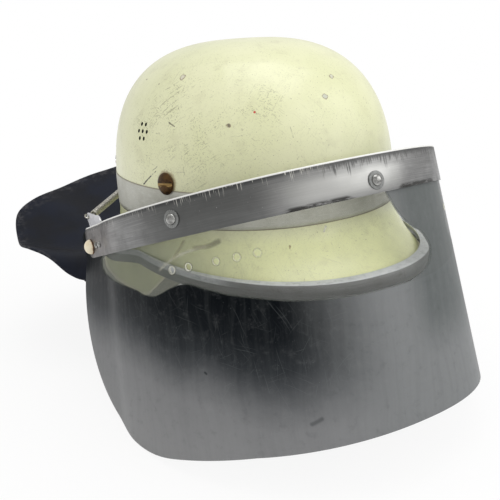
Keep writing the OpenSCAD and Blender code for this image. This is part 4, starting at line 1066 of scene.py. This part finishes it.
# painted reflections: a darker patch on the wearer's right side and a bright band across the middle near the
# front
dark_reflection = ramp(abs(along + 0.122), 0.02, 0.075, 0.8, 0)
aside = abs(along + 0.022)
bright_reflection = ramp(abs(up - 0.001), 0.003, 0.011, 1, 0.25) * ramp(aside, 0.02, 0.06, 0.75, 0)
behind = ramp(along, -0.262, -0.2, 1, 0)
grey = coats(grey, (ramp(cloud, 0.45, 0.7, 0, 0.45), (112, 112, 112)), (dark_reflection, (86, 87, 86)),
             (bright_reflection, (206, 206, 203)), (behind * 0.6, (124, 118, 116)))
crimp = noise(flat, 1, 1, 0.5, (1500, 20, 1))
crimp_long = noise(flat, 1, 2, 0.6, (130, 1, 1))
below_fold = 0.0158 - up
reach_down = ramp(crimp_long, 0.38, 0.72) * 0.009 + 0.0016
nick = ramp(below_fold / reach_down, 0.5, 1, 1, 0)
close_by = ramp(noise(flat, 1, 2, 0.6, (1150, 16, 1)), 0.48, 0.56)
close_by = close_by * ramp(below_fold / (reach_down + 0.0028), 0.5, 1, 1, 0)
far_side = ramp(along, -0.056, -0.03)
nick = ramp(crimp, 0.6, 0.66) * nick * ramp(aside, 0.06, 0.14, 0.85, 0.6)
nick = most(nick, close_by * (far_side * 0.9))
grime_right = ramp(abs(along + 0.043), 0.018, 0.028, 1, 0)
grime_left = ramp(abs(along - 0.041), 0.018, 0.027, 1, 0)
patchy = ramp(noise(flat, 1, 6, 0.75, (90, 420, 1)), 0.36, 0.52)
grimy = most(grime_right, grime_left)
dirt = ramp(up - (grimy * 0.0026 + -0.0093), -0.0012, 0.0006, 0.9, 0) * patchy * grimy
smear = ramp(noise(flat, 62, 2), 0.54, 0.62) * (behind * 0.7)
pits = ramp(noise(flat, 620, 3), 0.7, 0.75) * 0.6
# the flange's top is painted near white as a painted highlight
flange_highlight = ramp(up, 0.0151, 0.0157)
# a painted shadow just under the fold, then crimp nicks, dirt, smears and pits, and the flange top's painted
# highlight
grey = coats(grey, (ramp(below_fold, 0.001, 0.004, 0.75, 0), (62, 63, 64)),
             (nick, tint(far_side, (216, 214, 206), (92, 92, 91))), (dirt, (46, 45, 43)),
             (smear, (100, 96, 96)), (pits, (196, 196, 194)), (flange_highlight, (238, 238, 235)))
plug(shader, Base_Color=grey, Metallic=ramp(flange_highlight, 0, 1, 0.9, 0.25),
     Roughness=ramp(cloud, 0.35, 0.7, 0.34, 0.5))
scrape = relief(long_brush, 0.1, 0.0002)
plug(shader, Normal=relief(nick, 0.4, 0.0003, scrape))

bm = bmesh.new()
sweep(bm, band_ring, len(band_path))
bmesh.ops.transform(bm, matrix=tilted, verts=bm.verts)
band = piece("folded_band", bm, band_metal, "visor_band", "visor", sharp=50)
wear_marks(band, band_path)

# Visor plate: a sheet of clear plastic bent round the band and riveted to it, deep in front, with
# big round rear corners. It is faintly hazy with fine scratches. Under a line that follows the rail
# it is painted dark grey as painted shade and reflection, darkest just under the rail, paler low down.
plate_path = round_front(**visor_plan, back_y=79, arm=60, steps=340)
plate_reach = [0]
for a, b in zip(plate_path, plate_path[1:]):
    plate_reach.append(plate_reach[-1] + (b - a).length)
plate_len = plate_reach[-1] / 2


def plan_at(s):
    """A place in the visor's plan, s mm along it from the middle of its front"""
    s = min(plate_reach[-1] - 1e-6, max(0, plate_len + s))
    low, high = 0, len(plate_reach) - 1
    while high - low > 1:
        mid = (low + high) // 2
        low, high = (mid, high) if plate_reach[mid] <= s else (low, mid)
    return plate_path[low].lerp(plate_path[low + 1],
                                (s - plate_reach[low]) / (plate_reach[low + 1] - plate_reach[low]))


def plan_out(s):
    run = (plan_at(s + 1) - plan_at(s - 1)).normalized()
    return Vector((run.y, -run.x, 0))


plate_deep, rear_round, plate_rise, top_round = 160, 135, 14, 12
under_band, sprung_wide = 10.5, 30


def rounded(s, reach, radius):
    """How far the plate reaches from the pivot's level at s along it, with its corner rounded"""
    q = max(0, abs(s) - (plate_len - radius))
    return reach - radius + sqrt(max(0, radius * radius - q * q))


def plate_point(s, f):
    """A place on the untilted plate, f of the way down from its top edge"""
    low, high = rounded(s, plate_deep, rear_round), -rounded(s, plate_rise, top_round)
    h = high + (low - high) * f
    below = max(0, h - under_band)
    g = max(0, (abs(s) - 120) / (plate_len - 120))
    spring_out = sprung_wide * g * (below / (plate_deep - under_band)) ** 0.78 if below else 0
    p = plan_at(s) + plan_out(s) * (spring_out - 1.3)
    return Vector((p.x, p.y, pivot.z - h))


side_holes, hole_rise = (88, 102, 117, 139, 154), -29.5


def on_visor(s, rise):
    """A place on the visor's outer curve, its axis pointing outwards"""
    return tilted @ seat_at(plan_at(s) + Vector((0, 0, pivot.z + rise)), plan_out(s))


clear_plate, shader, at = finish_of("scratched_clear_plate", Roughness=0.35, IOR=1.49, Specular_IOR_Level=0.03)
along = stored(at, "along")
up = stored(at, "up")
down = up * -1
flat = along.into("CombineXYZ", {1: up})
cloud = noise(flat, 18, 5, 0.6)
bent = vector(flat, "ADD", vector(unrest(flat, 22, 1), "MULTIPLY", (0.012, 0.012, 0)))
bundles = ((26, 0.5, 0.69), (18, 1.2, 0.68), (34, 1.9, 0.7), (22, 2.4, 0.69), (40, -0.2, 0.71), (24, 1.5, 0.69))
hair = hairlines(bent, (1500, 1), 0.08, 0.7, *((short, (0, 0, turn), rare) for short, turn, rare in bundles))
hair = hair * ramp(apart(flat, (-120, -95, 0)), 0.04, 0.16, 0.75, 0.2)
specks = ramp(noise(flat, 900, 2), 0.71, 0.76)
drift = (cloud - 0.5) * 0.02
# painted shade and reflection: darkest just under a line that follows the rail, and paler lower down
shade_fade_line = curve_through(along, (-320, 45), (-280, 58), (-240, 64), (-200, 75), (-170, 88), (-140, 97),
                         (-115, 110), (-80, 117), (0, 118))
below_fade_line = down + drift - shade_fade_line
shades = node(at.tree, "ValToRGB", {0: below_fade_line.into("MapRange", {1: -0.06, 2: 0.08})})
while len(shades.color_ramp.elements) < 7:
    shades.color_ramp.elements.new(0.5)
for stop, (reach, grey) in zip(
        shades.color_ramp.elements,
        ((-0.06, 4), (-0.03, 22), (-0.01, 48), (0, 72), (0.015, 108), (0.03, 128), (0.08, 143))):
    stop.position, stop.color = (reach + 0.06) / 0.14, srgb(grey, grey + 4 - grey / 40, grey + 8 - grey / 22)
streaks, mottle = noise(bent, 1, 5, 0.65, (210, 9, 1), (0, 0, 0.12)), noise(bent, 130, 8, 0.7)
# a flat painted grey over the front and the wearer's left, a darker painted patch left of the front, faint
# streaks and mottle
tone = coats(Wire(shades.outputs[0]), (ramp(along, -0.085, -0.005), (125, 127, 128)),
             (ramp(along, 0, 0.03) * ramp(down, 0.09, 0.13, 0.9, 0), (96, 100, 100)),
             (ramp(streaks, 0.4, 0.72, 0, 0.04), (150, 154, 154)),
             (ramp(streaks, 0.56, 0.3, 0, 0.05), (28, 32, 36)),
             (ramp(mottle, 0.5, 0.74, 0, 0.08), (156, 158, 158)),
             (ramp(mottle, 0.48, 0.3, 0, 0.14), (34, 38, 42)))
# the painted shade begins under this line, which follows the rail's lower edge
clear_line = curve_through(abs(along) * -1, (-330, -14), (-287, -12), (-281, 12), (-272, 24), (-258, 28),
                           (-235, 32.5), (-202, 39.5), (-186, 45), (-178, 46), (-168, 44.5), (-158, 42),
                           (-148, 41), (-131, 46.3), (-113, 53.3), (-93, 59), (-75, 64), (-56, 67.5), (-38, 70),
                           (0, 71.3))
painted_shade = ramp(down - clear_line, -0.0022, 0)
# a patch of painted shade left of the front, its edge following this curve
past_brim = curve_through(down, (-15, -3), (0, 4), (16, 9.5), (27, 16), (36, 26), (41, 34), (47, 38.5),
                          (52, 40.5), (60, 37), (65, 31), (69, 18), (71.3, 0))
past_brim = ramp(along - past_brim, -0.001, 0.0015) * ramp(along, 0.085, 0.11, 1, 0)
painted_shade = most(painted_shade, past_brim * 0.92)
clean = ramp(cloud, 0.35, 0.75, 0.02, 0.09) + ramp(along, -0.08, -0.19, 0, 0.36)
facing = Wire(node(at.tree, "LayerWeight", {"Blend": 0.25}).outputs["Facing"])
clean = clean + facing ** 3 * 0.3
shown = most(clean, painted_shade * 0.995)
tone = tint(1 - painted_shade, tone, (104, 108, 102))
scratches = most(hair, specks)
for start, end, wide, shade, strong in (
        ((-166, -28), (-123, -16), 1.6, (196, 194, 176), 0.5),
        ((-131, -17), (-112, -15), 2.2, (104, 96, 76), 0.5),
        ((-150, -24), (-139, -12), 1.2, (118, 108, 84), 0.5),
        ((-78, -142), (-71, -140), 1.3, (66, 68, 70), 0.55),
        ((-143, -99), (-142, -100), 0.9, (40, 44, 46), 0.8),
        ((-45, -25), (-43, -22), 0.5, (230, 230, 220), 0.6)):
    smudge = ramp(line_gap(bent, (*start, 0), (*end, 0)), wide * 0.2 * MM, wide * 1.4 * MM, strong, 0)
    tone = tint(smudge, tone, shade)
    shown = most(shown, smudge)
tone = tint(scratches * 0.2, tone, (150, 156, 156))
shown = shown + scratches * 0.16
for s in side_holes:
    for side in (-1, 1):
        gap = apart(at, on_visor(side * s, hole_rise).translation / MM)
        # a painted highlight on each hole's edge and a ring of painted shade just outside it
        lip = ramp(gap, 2.2 * MM, 2.5 * MM) * ramp(gap, 2.8 * MM, 3.1 * MM, 1, 0)
        ring = ramp(gap, 2.8 * MM, 3.1 * MM) * ramp(gap, 3.3 * MM, 3.7 * MM, 1, 0)
        shown = shown + (lip + ring) * 0.3
        tone = tint(lip, tint(ring, tone, (84, 84, 72)), (232, 232, 218))
# its painted shade and haze let most light through, so the plate casts only a thin shadow
shown = shown.reckon("ADD", use_clamp=True) * (1 - rays(at.tree, "Shadow", "Diffuse") * 0.7)
plug(shader, Base_Color=tone, Alpha=shown, Normal=relief(scratches, -0.3, 0.0001))

cut_edge, shader, at = finish_of("cut_plate_edge", Roughness=0.4, Alpha=0.8)
plug(shader, Base_Color=tint(ramp(noise(at, 600, 4, 0.7), 0.4, 0.65), (150, 154, 156), (206, 210, 210)),
     Normal=relief(noise(at, 900, 3), 0.3, 0.0002))

bm = bmesh.new()
wide_steps, deep_steps = 200, 26
for v in bmesh.ops.create_grid(bm, x_segments=wide_steps, y_segments=deep_steps, size=1)["verts"]:
    s = plate_len * 0.9995 * sin(pi / 2 * v.co.x)
    v.co = plate_point(s, (v.co.y + 1) / 2) * MM
bmesh.ops.transform(bm, matrix=tilted, verts=bm.verts)
face_out(bm)
if sum(f.normal.dot(f.calc_center_median() - Vector((0, 0.05, -0.05))) for f in bm.faces) < 0:
    bmesh.ops.reverse_faces(bm, faces=bm.faces)
plate = piece("clear_visor_plate", bm, [clear_plate, cut_edge], "visor_plate", "visor")
wall(plate, 1.5, material_offset_rim=1, use_even_offset=True)
bits = bmesh.new()
for s in side_holes:
    for side in (-1, 1):
        bit(bits, 2.3, 30, on_visor(side * s, hole_rise), 24)
drill(plate, bits)
soften(plate, 0.25, 1, material=1)
settle(plate)
wear_marks(plate, plate_path)

# Visor rivets: three domed rivets over turned washers hold the plate to the band, one in front and
# one at each side, and two small ones in front of each pivot close the band's ends.
rivet_metal = metal("rivet_metal", (182, 182, 179), (118, 118, 116), 0.16, (300, 300, 300),
                    stain=(120, 116, 108))
turned_washer, shader, at = finish_of("turned_washer", Metallic=0.6, Roughness=0.4)
bm, washers, turned_lines = bmesh.new(), bmesh.new(), []
for s, rise in ((-143, 3.6), (0, -1), (143, 3.6)):
    place = on_visor(s, rise)
    turned(bm,
           [(0, 3.45), (1.4, 3.35), (2.6, 2.95), (3.5, 2.2), (3.95, 1.4), (4, 0.95), (3.9, 0.87), (2, 0.87),
            (2, -3.7), (4, -3.75), (4, -4.5), (0, -4.55)], place)
    turned(washers,
           [(2.1, 0.8), (5.6, 0.88), (6.05, 0.75), (6.25, 0.4), (6.2, 0.1), (6, 0.05), (2.1, 0.05), (2.1, 0.8)],
           place)
    turned_lines.append((apart(at, place.translation / MM) * 9000).reckon("SINE"))
centre_line = functools.reduce(most, turned_lines)
dusk = ramp(noise(at, 400, 5), 0.4, 0.7)
grey = tint(dusk, (114, 115, 114), (88, 89, 88))
plug(shader, Base_Color=tint(ramp(centre_line, 0.6, 1, 0, 0.6), grey, (166, 168, 166)),
     Normal=relief(centre_line, 0.2, 0.0001))
piece("domed_rivets", bm, rivet_metal, "band_rivets", "visor")
piece("rivet_washers_turned", washers, turned_washer, "rivet_washers", "visor")
bm = bmesh.new()
for side in (-1, 1):
    for ahead in (15, 24):
        turned(bm,
               [(0, 1.65), (1.2, 1.5), (2.1, 1.05), (2.6, 0.45), (2.65, 0.15), (2.5, 0.08), (1.5, 0.08),
                (1.5, -2.8), (2.7, -2.85), (2.7, -3.45), (0, -3.5)],
               tilted @ beside(side, 129, pivot.y - ahead), 28)
piece("small_rivets", bm, rivet_metal, "end_rivets", "visor")
